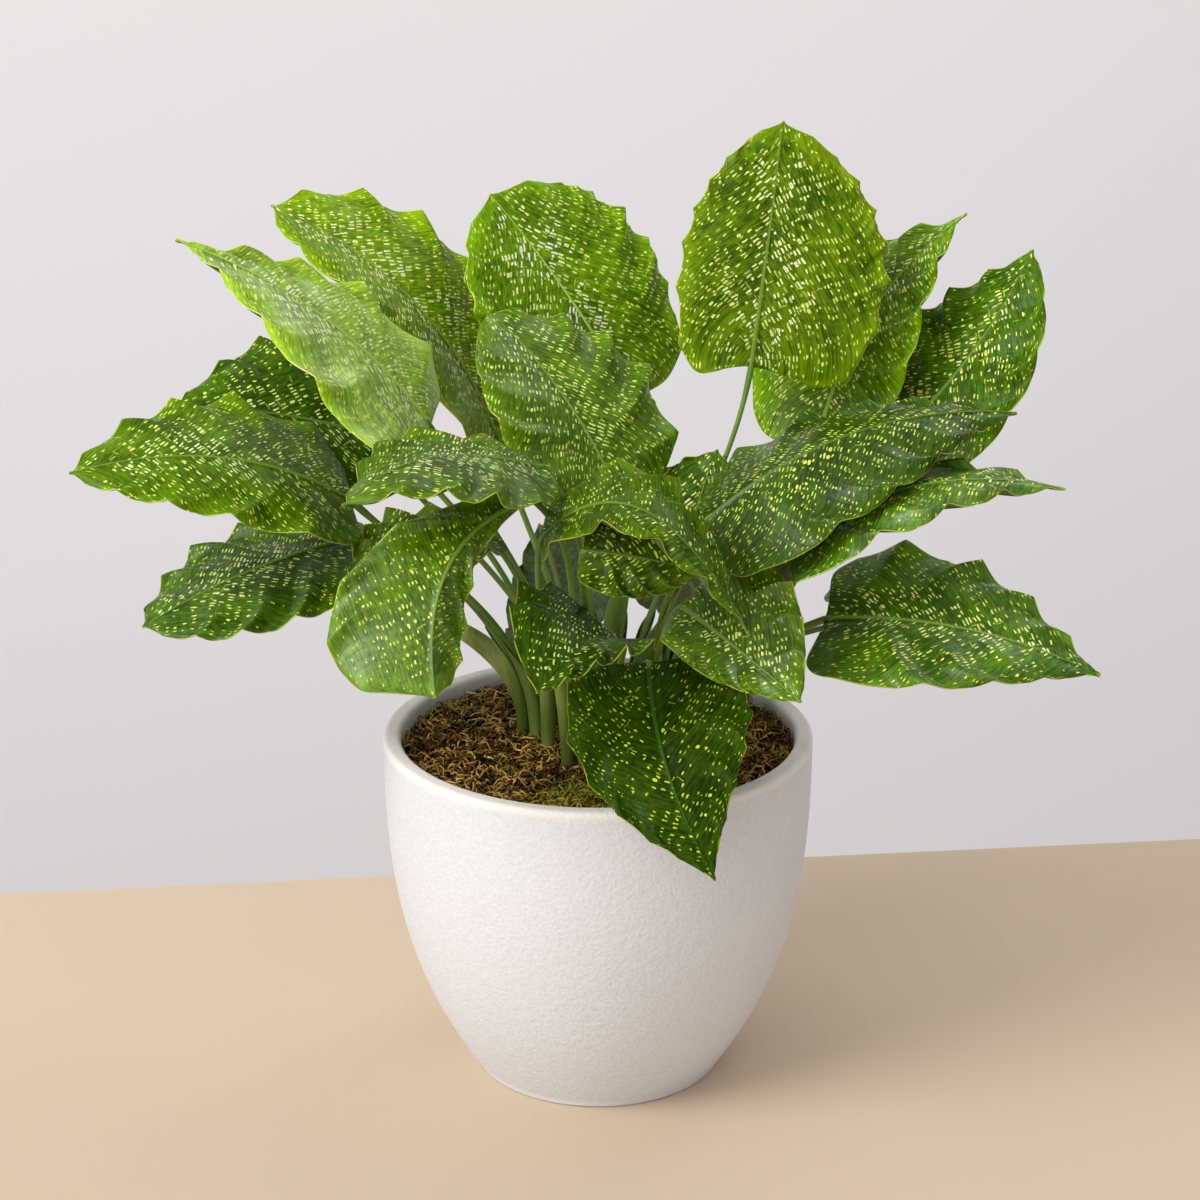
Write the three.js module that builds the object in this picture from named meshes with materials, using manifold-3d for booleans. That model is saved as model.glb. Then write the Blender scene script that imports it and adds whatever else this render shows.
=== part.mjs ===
// A potted calathea: a round-bellied pot, potting mix, a moss topping and a clump of leaves.
// Millimetres, +Z up. The origin is the centre of the pot's foot, on the surface it stands on,
// and the front of the plant faces -Y.
import * as THREE from 'three';
import { mergeVertices } from 'three/addons/utils/BufferGeometryUtils.js';
import Module from 'manifold-3d';

const wasm = await Module();
wasm.setup();

// Pot
const POT_HEIGHT = 172;
const POT_WIDEST = 103.5; // outer radius just under the rim
const FOOT_RADIUS = 60;
const BELLY = 2.8; // exponent of the outer curve: the higher, the rounder the belly
const WALL = 8.5;
const FLOOR = 12;
const RIM_ROUND = 2.5; // radius of the rim's two edges
const FOOT_ROUND = 2;
const POT_SIDES = 40;
const POT_RINGS = 8;
const INNER_RINGS = 6;

// Filling
const GAP = 0.3; // clearance between pieces that touch
const FILL_GAP = 0.6; // clearance to the pot's wall, whose facets cut across its curve
const MIX_TOP = 152;
const MOSS_TOP = 163;
const MOSS_LUMPS = 1.6; // height of the lumps in the topping
const LUMP_LENGTH = 8; // length of the waves they are made of, over 2 pi
const MOSS_MOUND = 2.5; // how far the middle stands above the edge
const MIX_RINGS = 5;
const MOSS_RINGS = 7;
const ROOT_DEPTH = 16; // how deep a stalk stands in the potting mix

// Leaves
const BLADE = 0.84; // thickness of a blade
const RIB_ABOVE = 0.3; // how far the midrib stands out of the upper face
const RIB_BELOW = 1.0; // and, at the base of the blade, out of the lower face
const SWEEP = 0.26; // how far the side veins run forward on their way to the margin
const LAG = 0.13; // how far back on the midrib they start
const LOBE = 0.1; // how far the base lobes reach back past the stalk
const LOBE_AT = 0.08;
const HOLE_SIDES = 6;
const STALK_SIDES = 6;
const STALK_STEPS = 10;
const STALK_IN_BLADE = 0.09; // share of the midrib that the stalk runs on under the blade
const JOINT_SWELL = 1.25; // the swollen joint under the blade, against the stalk beside it
const JOINT_LENGTH = 14;
const STALK_END = 0.3; // radius of the stalk's end under the blade, as a share
const ARRIVAL = 0.35; // how long the stalk keeps its last direction, in lengths of its chord
const SHEATH_LENGTH = 60;
const ACROSS = [-1, -0.55, 0, 0.55, 1]; // margin, half blade, midrib, half blade, margin
const ROWS_PER_WAVE = 3; // one row on the tooth and two in the bay
const WAVE_RISE = 1.6; // exponent by which the waves grow from midrib to margin
const STAGGER = 1 / 3; // how far one margin's teeth run ahead of the other's, in waves

const COLOURS = {
  pot: 0xe9e6e3,
  mix: 0x35241a,
  moss: 0x6b4a2c,
  bright: 0x5d9a1f,
  mid: 0x47801f,
  dark: 0x2f6321,
};

const SHAPE = {
  arch: 8, // how far the midrib bows up from the line between base and tip
  hook: 0, // how far the last stretch curls up (or, below zero, down)
  bend: 0, // how far the midrib bows sideways
  fold: 8, // degrees that each half rises from the midrib
  cup: 0.1, // how much the margins drop again, in half widths
  twist: 0, // degrees that the blade turns between base and tip
  uneven: 0, // how much wider the one half is than the other, as a share
  waves: 5, // teeth along each margin
  ripple: 3.5, // height of the waves at the margin
  tooth: 0.09, // depth of the bays between the teeth, in half widths
  blunt: 0.42, // how slowly the blade widens from its base: the lower, the rounder
  taper: 0.8, // how slowly it narrows to its tip: the higher, the more pointed
  stalk: 3.2, // radius of the stalk at the topping
  neck: 1.8, // radius of the stalk under the blade
  rise: 0.4, // how long the stalk stays upright, in lengths of its chord
  lean: 0.45, // how much the stalk's end turns towards the blade's own direction
  tint: 'mid',
};

// Each leaf: where its stalk stands, the ends of its midrib, and which way its upper face looks.
const LEAVES = [
  // the crown, from the bright upright leaf on the right to the left
  { root: [30, 7], base: [72, 22, 346], tip: [86, 45, 455], face: [0, -1, 0.2], width: 101,
    arch: 4, fold: 5, uneven: -0.19, taper: 0.62, ripple: 2, stalk: 3, rise: 0.55, lean: 0.7,
    tint: 'bright' },
  { root: [8, 16], base: [17, 58, 320], tip: [-50, 64, 418], face: [0.5, -0.8, 0.35], width: 108,
    arch: 6, fold: 6, uneven: -0.05, blunt: 0.5, taper: 0.5, ripple: 3, tint: 'mid' },
  { root: [2, -4], base: [9, -12, 294], tip: [-50, 25, 370], face: [0.45, -0.55, 0.7], width: 102,
    arch: 8, fold: 9, uneven: -0.04, taper: 0.65, tint: 'mid' },
  { root: [-10, 10], base: [-50, 56, 303], tip: [-151, 49, 416], face: [0.7, -0.45, 0.55], width: 92,
    arch: 20, fold: 15, uneven: -0.1, blunt: 0.38, taper: 0.5, tint: 'bright' },
  { root: [-16, 0], base: [-77, -16, 327], tip: [-181, -50, 419], face: [0.7, -0.35, 0.6], width: 98,
    arch: 13, fold: 8, uneven: 0.2, taper: 1.2, tint: 'bright' },
  { root: [-24, 12], base: [-100, 33, 306], tip: [-197, 13, 328], face: [0.3, -0.6, 0.75], width: 100,
    arch: 8, fold: 6, uneven: -0.1, tint: 'dark' },
  // the left side
  { root: [-4, -14], base: [-24, -67, 322], tip: [-105, -130, 324], face: [0.2, -0.05, 1], width: 78,
    arch: 4, hook: -22, fold: -4, uneven: -0.04, blunt: 0.7, twist: -30, tint: 'bright' },
  { root: [-30, 0], base: [-112, -35, 297], tip: [-229, -75, 322], face: [0.35, -0.35, 0.85], width: 88,
    arch: 17, fold: 2, uneven: -0.1, taper: 0.7, tint: 'mid' },
  { root: [-36, 6], base: [-106, -8, 273], tip: [-204, -60, 246], face: [-0.1, -0.3, 0.95], width: 86,
    arch: 6, fold: 0, uneven: 0.02, blunt: 0.6, taper: 0.65, tint: 'dark' },
  { root: [-24, -12], base: [-54, -34, 284], tip: [-110, -75, 274], face: [0, -0.15, 1], width: 65,
    arch: 6, fold: 4, tint: 'mid' },
  { root: [-14, -26], base: [-29, -74, 310], tip: [-69, -145, 245], face: [0.4, -0.7, 0.6], width: 64,
    arch: 6, bend: -20, fold: -22, uneven: -0.4, blunt: 1.4, taper: 0.4, tint: 'dark' },
  // the right side
  { root: [24, -10], base: [49, -40, 289], tip: [188, -22, 335], face: [-0.3, -0.3, 0.9], width: 98,
    arch: 18, fold: -10, taper: 1, waves: 6, tint: 'dark' },
  { root: [34, -4], base: [77, -44, 268], tip: [205, -62, 311], face: [-0.4, -0.15, 0.9], width: 80,
    arch: 20, fold: -4, uneven: 0.18, taper: 1.1, tint: 'dark' },
  { root: [42, 6], base: [105, -40, 242], tip: [224, -72, 227], face: [0, -0.5, 0.85], width: 90,
    arch: 12, fold: 10, taper: 1, tint: 'dark' },
  { root: [32, 18], base: [106, 45, 302], tip: [174, 65, 409], face: [-0.6, -0.65, 0.5], width: 86,
    arch: 6, bend: 10, fold: 4, uneven: 0.2, twist: 50, blunt: 0.6, taper: 1, tint: 'dark' },
  { root: [70, 30], base: [143, 52, 302], tip: [207, 60, 392], face: [-0.6, -0.65, 0.5], width: 88,
    arch: 4, bend: -10, fold: 4, uneven: 0.06, stalk: 4.5, neck: 3, rise: 0.25, tint: 'dark' },
  { root: [14, -2], base: [40, 6, 252], tip: [56, 16, 306], face: [-0.4, -0.85, 0.35], width: 70,
    arch: 3, tint: 'dark' },
  // the low front
  { root: [4, -36], base: [23, -72, 232], tip: [50, -142, 159], face: [-0.1, -0.75, 0.65], width: 86,
    arch: 10, bend: -6, fold: 6, uneven: 0.05, taper: 1.05, tint: 'dark' },
  { root: [25, -27], base: [38, -58, 254], tip: [87, -116, 231], face: [-0.4, -0.6, 0.7], width: 62,
    arch: 6, fold: 5, uneven: 0.35, tint: 'mid' },
  { root: [-6, -38], base: [11, -84, 246], tip: [-25, -140, 244], face: [0.1, -0.2, 1], width: 70,
    arch: 10, fold: 20, uneven: -0.3, tint: 'dark' },
  { root: [6, -22], base: [-6, -106, 296], tip: [44, -112, 288], face: [-0.1, -0.8, 0.6], width: 40,
    arch: 4, fold: 8, blunt: 0.5, lean: 0.15, tint: 'mid' },
  { root: [-14, -35], base: [-25, -78, 292], tip: [62, -140, 272], face: [0.05, -0.4, 0.92], width: 46,
    arch: 40, fold: 0, uneven: 0.3, twist: 70, blunt: 0.26, taper: 0.65, tint: 'bright' },
  // the back, and the low leaf that shows its underside between the stalks
  { root: [-20, 24], base: [-97, 62, 282], tip: [-172, 118, 290], face: [-0.1, 0.1, 1], width: 88,
    arch: 10, fold: 4, tint: 'dark' },
  { root: [0, 28], base: [-14, 94, 286], tip: [-24, 160, 322], face: [0, 0.2, 1], width: 90,
    arch: 10, fold: 6, tint: 'mid' },
  { root: [26, 30], base: [118, 82, 268], tip: [170, 150, 286], face: [0.1, 0.1, 1], width: 90,
    arch: 12, fold: 4, tint: 'mid' },
  { root: [-8, 34], base: [-16, 58, 199], tip: [-30, 118, 238], face: [-0.1, 0.9, 0.4], width: 72,
    arch: 6, fold: 8, rise: 0.2, tint: 'dark' },
  { root: [40, 22], base: [134, 74, 207], tip: [198, 128, 187], face: [0.2, 0.1, 1], width: 84,
    arch: 12, fold: 0, tint: 'dark' },
  { root: [-36, 20], base: [-124, 45, 241], tip: [-188, 100, 209], face: [-0.2, 0.1, 1], width: 84,
    arch: 12, fold: 2, tint: 'dark' },
  { root: [16, 40], base: [38, 98, 222], tip: [62, 156, 158], face: [0.2, 0.7, 0.7], width: 84,
    arch: 10, fold: 4, rise: 0.3, tint: 'mid' },
];

const vector = (values) => new THREE.Vector3(...values);

function geometryFrom(positions, triangles) {
  const geometry = new THREE.BufferGeometry();
  geometry.setAttribute('position', new THREE.Float32BufferAttribute(positions, 3));
  geometry.setIndex(triangles);
  return geometry;
}

function solidFrom(geometry) {
  const bare = geometry.clone();
  bare.deleteAttribute('normal');
  bare.deleteAttribute('uv');
  const merged = mergeVertices(bare, 1e-4);
  const vertProperties = new Float32Array(merged.attributes.position.array);
  const triVerts = new Uint32Array(merged.index.array);
  return new wasm.Manifold(new wasm.Mesh({ numProp: 3, vertProperties, triVerts }));
}

function meshFrom(solid, name, colour, roughness) {
  const result = solid.getMesh();
  const geometry = geometryFrom(result.vertProperties, Array.from(result.triVerts));
  const material = new THREE.MeshStandardMaterial({ color: colour, roughness, metalness: 0 });
  const mesh = new THREE.Mesh(geometry, material);
  mesh.name = name;
  return mesh;
}

// Rings of points, each with as many points as the next, skinned and closed at both ends.
function loft(rings) {
  const sides = rings[0].length;
  const positions = [];
  const triangles = [];
  for (const ring of rings) {
    for (const point of ring) {
      positions.push(point.x, point.y, point.z);
    }
  }
  for (let row = 0; row < rings.length - 1; row += 1) {
    for (let side = 0; side < sides; side += 1) {
      const a = row * sides + side;
      const b = row * sides + ((side + 1) % sides);
      triangles.push(a, b, b + sides, a, b + sides, a + sides);
    }
  }
  const last = (rings.length - 1) * sides;
  for (let side = 1; side < sides - 1; side += 1) {
    triangles.push(0, side + 1, side);
    triangles.push(last, last + side, last + side + 1);
  }
  return geometryFrom(positions, triangles);
}

// The pot's outer radius at a height: a round belly that narrows to the foot.
function potRadius(height) {
  const down = 1 - height / POT_HEIGHT;
  return POT_WIDEST - (POT_WIDEST - FOOT_RADIUS) * down ** BELLY;
}

function innerRadius(height) {
  return potRadius(height) - WALL;
}

// Points of a wall from one height to another, for a lathe profile.
function wallPoints(radiusAt, from, to, steps) {
  const points = [];
  for (let step = 0; step <= steps; step += 1) {
    const height = from + ((to - from) * step) / steps;
    points.push(new THREE.Vector2(radiusAt(height), height));
  }
  return points;
}

function potSolid() {
  const shoulder = POT_HEIGHT - RIM_ROUND;
  const profile = [
    new THREE.Vector2(0, 0),
    new THREE.Vector2(FOOT_RADIUS - FOOT_ROUND, 0),
    ...wallPoints(potRadius, FOOT_ROUND, shoulder, POT_RINGS),
    new THREE.Vector2(potRadius(shoulder) - RIM_ROUND, POT_HEIGHT),
    new THREE.Vector2(innerRadius(shoulder) + RIM_ROUND, POT_HEIGHT),
    ...wallPoints(innerRadius, shoulder, FLOOR, INNER_RINGS),
    new THREE.Vector2(0, FLOOR),
  ];
  return solidFrom(new THREE.LatheGeometry(profile, POT_SIDES).rotateX(Math.PI / 2));
}

function fillingSolid(profile) {
  return solidFrom(new THREE.LatheGeometry(profile, POT_SIDES).rotateX(Math.PI / 2));
}

function mixSolid() {
  const radiusAt = (height) => innerRadius(height) - FILL_GAP;
  return fillingSolid([
    new THREE.Vector2(0, FLOOR + GAP),
    ...wallPoints(radiusAt, FLOOR + GAP, MIX_TOP, MIX_RINGS),
    new THREE.Vector2(0, MIX_TOP),
  ]);
}

// The topping mounds up towards the middle and is lumpy by a sum of waves.
function mossHeight(x, y) {
  const out = Math.hypot(x, y) / innerRadius(MOSS_TOP);
  const across = Math.sin(x / LUMP_LENGTH + Math.sin(y / LUMP_LENGTH));
  const along = Math.cos(y / LUMP_LENGTH - Math.sin(x / LUMP_LENGTH / 2));
  return MOSS_TOP + MOSS_MOUND * (1 - out * out) + MOSS_LUMPS * across * along;
}

function mossSolid() {
  const bottom = MIX_TOP + GAP;
  const edge = innerRadius(MOSS_TOP) - FILL_GAP;
  const profile = [
    new THREE.Vector2(0, bottom),
    new THREE.Vector2(innerRadius(bottom) - FILL_GAP, bottom),
  ];
  for (let ring = MOSS_RINGS; ring >= 0; ring -= 1) {
    profile.push(new THREE.Vector2((edge * ring) / MOSS_RINGS, MOSS_TOP));
  }
  const geometry = new THREE.LatheGeometry(profile, POT_SIDES).rotateX(Math.PI / 2);
  const place = geometry.attributes.position;
  for (let index = 0; index < place.count; index += 1) {
    if (place.getZ(index) > MOSS_TOP - 1) {
      place.setZ(index, mossHeight(place.getX(index), place.getY(index)));
    }
  }
  return solidFrom(geometry);
}

// A plain hole for a stalk, round enough to clear it all the way round.
function holeSolid(leaf) {
  const radius = (leaf.stalk + 1.2 * GAP) / Math.cos(Math.PI / HOLE_SIDES);
  const bottom = MIX_TOP - ROOT_DEPTH - GAP;
  const top = POT_HEIGHT;
  const hole = new THREE.CylinderGeometry(radius, radius, top - bottom, HOLE_SIDES).rotateX(Math.PI / 2);
  hole.translate(leaf.root[0], leaf.root[1], (top + bottom) / 2);
  return solidFrom(hole);
}

// The midrib runs from base to tip and bows off the straight line between them.
class Midrib extends THREE.Curve {
  constructor(leaf) {
    super();
    this.leaf = leaf;
    this.base = vector(leaf.base);
    this.chord = vector(leaf.tip).sub(this.base);
    this.along = this.chord.clone().normalize();
    this.normal = vector(leaf.face);
    this.normal.addScaledVector(this.along, -this.normal.dot(this.along)).normalize();
    this.side = new THREE.Vector3().crossVectors(this.normal, this.along);
  }

  getPoint(s, target = new THREE.Vector3()) {
    const bow = 4 * s * (1 - s);
    const curl = s ** 4 - s;
    target.copy(this.base).addScaledVector(this.chord, s);
    target.addScaledVector(this.normal, this.leaf.arch * bow + this.leaf.hook * curl);
    return target.addScaledVector(this.side, this.leaf.bend * bow);
  }

  // Tangent, side and normal of the blade at a point of the midrib.
  frameAt(s) {
    const tangent = this.getTangent(s);
    const level = this.normal.clone();
    level.addScaledVector(tangent, -level.dot(tangent)).normalize();
    const across = new THREE.Vector3().crossVectors(level, tangent);
    const roll = THREE.MathUtils.degToRad(this.leaf.twist) * (s - 0.5);
    const normal = level.clone().multiplyScalar(Math.cos(roll));
    normal.addScaledVector(across, Math.sin(roll));
    const side = across.clone().multiplyScalar(Math.cos(roll));
    side.addScaledVector(level, -Math.sin(roll));
    return { tangent, side, normal };
  }
}

// Half width of the blade at a point of the midrib, as a share of the widest.
function outline(s, { blunt, taper }) {
  const widest = blunt / (blunt + taper);
  const peak = widest ** blunt * (1 - widest) ** taper;
  return (s ** blunt * (1 - s) ** taper) / peak;
}

// A point of the blade's middle surface. u runs along a side vein's foot on the midrib, from 0 at
// the base to 1 at the tip, and v runs across from -1 to 1.
function bladePoint(midrib, u, v) {
  const leaf = midrib.leaf;
  const out = Math.abs(v);
  const s = u + (SWEEP * out - LAG) * 4 * u * (1 - u);
  const half = (leaf.width / 2) * outline(s, leaf) * (1 + Math.sign(v) * leaf.uneven);
  const stagger = v < 0 ? STAGGER : 0;
  const crest = 1 - Math.abs(Math.sin(Math.PI * (leaf.waves * u + stagger)));
  const reach = half * out * (1 - leaf.tooth * (1 - crest) * out * out);
  const fold = THREE.MathUtils.degToRad(leaf.fold);
  const swell = Math.sqrt(4 * s * (1 - s));
  const wave = leaf.ripple * (2 * crest - 1) * out ** WAVE_RISE * swell;
  const height = reach * Math.sin(fold) - half * leaf.cup * out * out + wave;
  const back = LOBE * midrib.chord.length() * out * out * (u / LOBE_AT) * Math.exp(1 - u / LOBE_AT);
  const { tangent, side, normal } = midrib.frameAt(s);
  const point = midrib.getPoint(s);
  point.addScaledVector(tangent, -back);
  point.addScaledVector(side, Math.sign(v) * reach * Math.cos(fold));
  return point.addScaledVector(normal, height);
}

// Triangles of the blade's net: a point at the base, rows of five across, and a point at the tip.
function bladeTriangles(rows) {
  const across = ACROSS.length;
  const triangles = [];
  const base = 0;
  const tip = 1 + rows * across;
  for (let column = 0; column < across - 1; column += 1) {
    triangles.push([base, column + 1, column + 2]);
    const last = tip - across + column;
    triangles.push([tip, last + 1, last]);
  }
  for (let row = 0; row < rows - 1; row += 1) {
    for (let column = 0; column < across - 1; column += 1) {
      const a = 1 + row * across + column;
      const d = a + across;
      if (column < across / 2 - 1) {
        triangles.push([a, d, a + 1], [a + 1, d, d + 1]);
      } else {
        triangles.push([a, d, d + 1], [a, d + 1, a + 1]);
      }
    }
  }
  return triangles;
}

function bladeSolid(midrib) {
  const rows = midrib.leaf.waves * ROWS_PER_WAVE - 1;
  const middle = [bladePoint(midrib, 0, 0)];
  const above = [BLADE / 2 + RIB_ABOVE];
  const below = [BLADE / 2 + RIB_BELOW];
  for (let row = 1; row <= rows; row += 1) {
    const u = row / (rows + 1);
    for (const v of ACROSS) {
      middle.push(bladePoint(midrib, u, v));
      above.push(BLADE / 2 + (v === 0 ? RIB_ABOVE : 0));
      below.push(BLADE / 2 + (v === 0 ? RIB_BELOW * (1 - u) : 0));
    }
  }
  middle.push(bladePoint(midrib, 1, 0));
  above.push(BLADE / 2);
  below.push(BLADE / 2);

  const faces = bladeTriangles(rows);
  const normals = middle.map(() => new THREE.Vector3());
  for (const [a, b, c] of faces) {
    const edge = middle[b].clone().sub(middle[a]);
    const face = edge.cross(middle[c].clone().sub(middle[a]));
    normals[a].add(face);
    normals[b].add(face);
    normals[c].add(face);
  }
  const count = middle.length;
  const positions = [];
  const put = (point) => positions.push(point.x, point.y, point.z);
  normals.forEach((normal) => normal.normalize());
  middle.forEach((point, index) => put(point.clone().addScaledVector(normals[index], above[index])));
  middle.forEach((point, index) => put(point.clone().addScaledVector(normals[index], -below[index])));
  const triangles = [];
  for (const [a, b, c] of faces) {
    triangles.push(a, b, c, a + count, c + count, b + count);
  }
  const margins = [0, ACROSS.length - 1].map((column) => {
    const loop = [0];
    for (let row = 0; row < rows; row += 1) {
      loop.push(1 + row * ACROSS.length + column);
    }
    loop.push(count - 1);
    return loop;
  });
  margins[1].reverse();
  for (const loop of margins) {
    for (let step = 0; step < loop.length - 1; step += 1) {
      const a = loop[step];
      const b = loop[step + 1];
      triangles.push(a, a + count, b + count, a, b + count, b);
    }
  }
  return solidFrom(geometryFrom(positions, triangles));
}

// The stalk stands upright in the filling, bends out to the blade and runs on under its midrib.
function stalkSolid(midrib) {
  const leaf = midrib.leaf;
  const foot = new THREE.Vector3(leaf.root[0], leaf.root[1], MIX_TOP - ROOT_DEPTH);
  const ground = foot.clone().setZ(MOSS_TOP + MOSS_MOUND + MOSS_LUMPS);
  const reach = midrib.base.distanceTo(ground);
  const heading = midrib.base.clone().sub(ground).normalize();
  heading.lerp(midrib.getTangent(0), leaf.lean).normalize();
  const upper = midrib.base.clone().addScaledVector(heading, -ARRIVAL * reach);
  const lower = ground.clone().setZ(ground.z + leaf.rise * reach);
  const path = new THREE.CurvePath();
  path.add(new THREE.LineCurve3(foot, ground));
  path.add(new THREE.CubicBezierCurve3(ground, lower, upper, midrib.base));
  path.add(new THREE.LineCurve3(midrib.base, midrib.getPoint(STALK_IN_BLADE)));

  const length = path.getLength();
  const hidden = ground.z - foot.z;
  const atBlade = length - midrib.base.distanceTo(midrib.getPoint(STALK_IN_BLADE));
  const frames = path.computeFrenetFrames(STALK_STEPS, false);
  const rings = [];
  for (let step = 0; step <= STALK_STEPS; step += 1) {
    const travelled = (length * step) / STALK_STEPS;
    const centre = path.getPointAt(step / STALK_STEPS);
    const up = THREE.MathUtils.clamp((travelled - hidden) / SHEATH_LENGTH, 0, 1);
    const swollen = Math.max(0, 1 - Math.abs(travelled - atBlade) / JOINT_LENGTH);
    const end = THREE.MathUtils.clamp((length - travelled) / (length - atBlade), STALK_END, 1);
    const radius = (leaf.stalk + (leaf.neck - leaf.stalk) * up) * (1 + (JOINT_SWELL - 1) * swollen) * end;
    const ring = [];
    for (let side = 0; side < STALK_SIDES; side += 1) {
      const turn = (2 * Math.PI * side) / STALK_SIDES;
      const point = centre.clone().addScaledVector(frames.normals[step], radius * Math.cos(turn));
      ring.push(point.addScaledVector(frames.binormals[step], radius * Math.sin(turn)));
    }
    rings.push(ring);
  }
  return solidFrom(loft(rings));
}

const leaves = LEAVES.map((own) => ({ ...SHAPE, ...own }));

const holes = wasm.Manifold.union(leaves.map(holeSolid));
const group = new THREE.Group();
group.add(meshFrom(potSolid(), 'pot', COLOURS.pot, 0.75));
group.add(meshFrom(mixSolid().subtract(holes), 'potting_mix', COLOURS.mix, 1));
group.add(meshFrom(mossSolid().subtract(holes), 'moss_topping', COLOURS.moss, 1));
leaves.forEach((leaf, index) => {
  const midrib = new Midrib(leaf);
  const solid = bladeSolid(midrib).add(stalkSolid(midrib));
  const name = `leaf_${String(index + 1).padStart(2, '0')}`;
  group.add(meshFrom(solid, name, COLOURS[leaf.tint], 0.45));
});

export default group;
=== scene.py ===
# A potted calathea: fine leaves on their stalks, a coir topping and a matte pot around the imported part.
import math

import bpy
import numpy as np
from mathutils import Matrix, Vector


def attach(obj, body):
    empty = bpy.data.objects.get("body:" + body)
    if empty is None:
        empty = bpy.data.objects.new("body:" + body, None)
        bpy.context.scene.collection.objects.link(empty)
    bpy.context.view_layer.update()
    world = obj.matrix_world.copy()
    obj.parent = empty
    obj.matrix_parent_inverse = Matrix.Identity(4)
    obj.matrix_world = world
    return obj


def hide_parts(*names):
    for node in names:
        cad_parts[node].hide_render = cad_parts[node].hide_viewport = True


mm = 0.001

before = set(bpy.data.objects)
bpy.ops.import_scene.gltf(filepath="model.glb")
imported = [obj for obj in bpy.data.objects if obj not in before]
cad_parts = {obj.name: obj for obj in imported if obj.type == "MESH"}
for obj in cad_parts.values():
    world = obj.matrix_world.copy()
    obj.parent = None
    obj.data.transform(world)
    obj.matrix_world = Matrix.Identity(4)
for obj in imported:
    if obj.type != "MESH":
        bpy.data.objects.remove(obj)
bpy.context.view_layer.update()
print("frame loaded:", len(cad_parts), "nodes")


def colour(text):
    channels = [int(text[i:i + 2], 16) / 255 for i in (0, 2, 4)]
    return tuple(c / 12.92 if c <= 0.04045 else ((c + 0.055) / 1.055) ** 2.4 for c in channels) + (1.0,)


# Mesh helpers

def addObject(name, data):
    obj = bpy.data.objects.new(name, data)
    bpy.context.scene.collection.objects.link(obj)
    return obj


def newMesh(name, points, faces, edges=(), materials=()):
    mesh = bpy.data.meshes.new(name)
    mesh.from_pydata(points, list(edges), faces)
    for material in materials:
        mesh.materials.append(material)
    return mesh


def addLayer(mesh, name, values):
    layer = mesh.attributes.new(name, "FLOAT", "POINT")
    layer.data.foreach_set("value", np.asarray(values).astype(np.float32))


def shadeSmooth(mesh):
    mesh.polygons.foreach_set("use_smooth", [True] * len(mesh.polygons))


def finishedMesh(obj):
    bpy.context.view_layer.update()
    return bpy.data.meshes.new_from_object(obj.evaluated_get(bpy.context.evaluated_depsgraph_get()))


# Node helpers

class Flow:
    # What comes out of a node. Sums and products with it make Math nodes.
    def __init__(self, wires, socket):
        self.wires = wires
        self.socket = socket

    def __add__(self, other):
        return self.wires.math("ADD", self, other)

    def __radd__(self, other):
        return self.wires.math("ADD", other, self)

    def __sub__(self, other):
        return self.wires.math("SUBTRACT", self, other)

    def __rsub__(self, other):
        return self.wires.math("SUBTRACT", other, self)

    def __mul__(self, other):
        return self.wires.math("MULTIPLY", self, other)

    def __truediv__(self, other):
        return self.wires.math("DIVIDE", self, other)

    def __pow__(self, other):
        return self.wires.math("POWER", self, other)

    def __abs__(self):
        return self.wires.math("ABSOLUTE", self)


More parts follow.
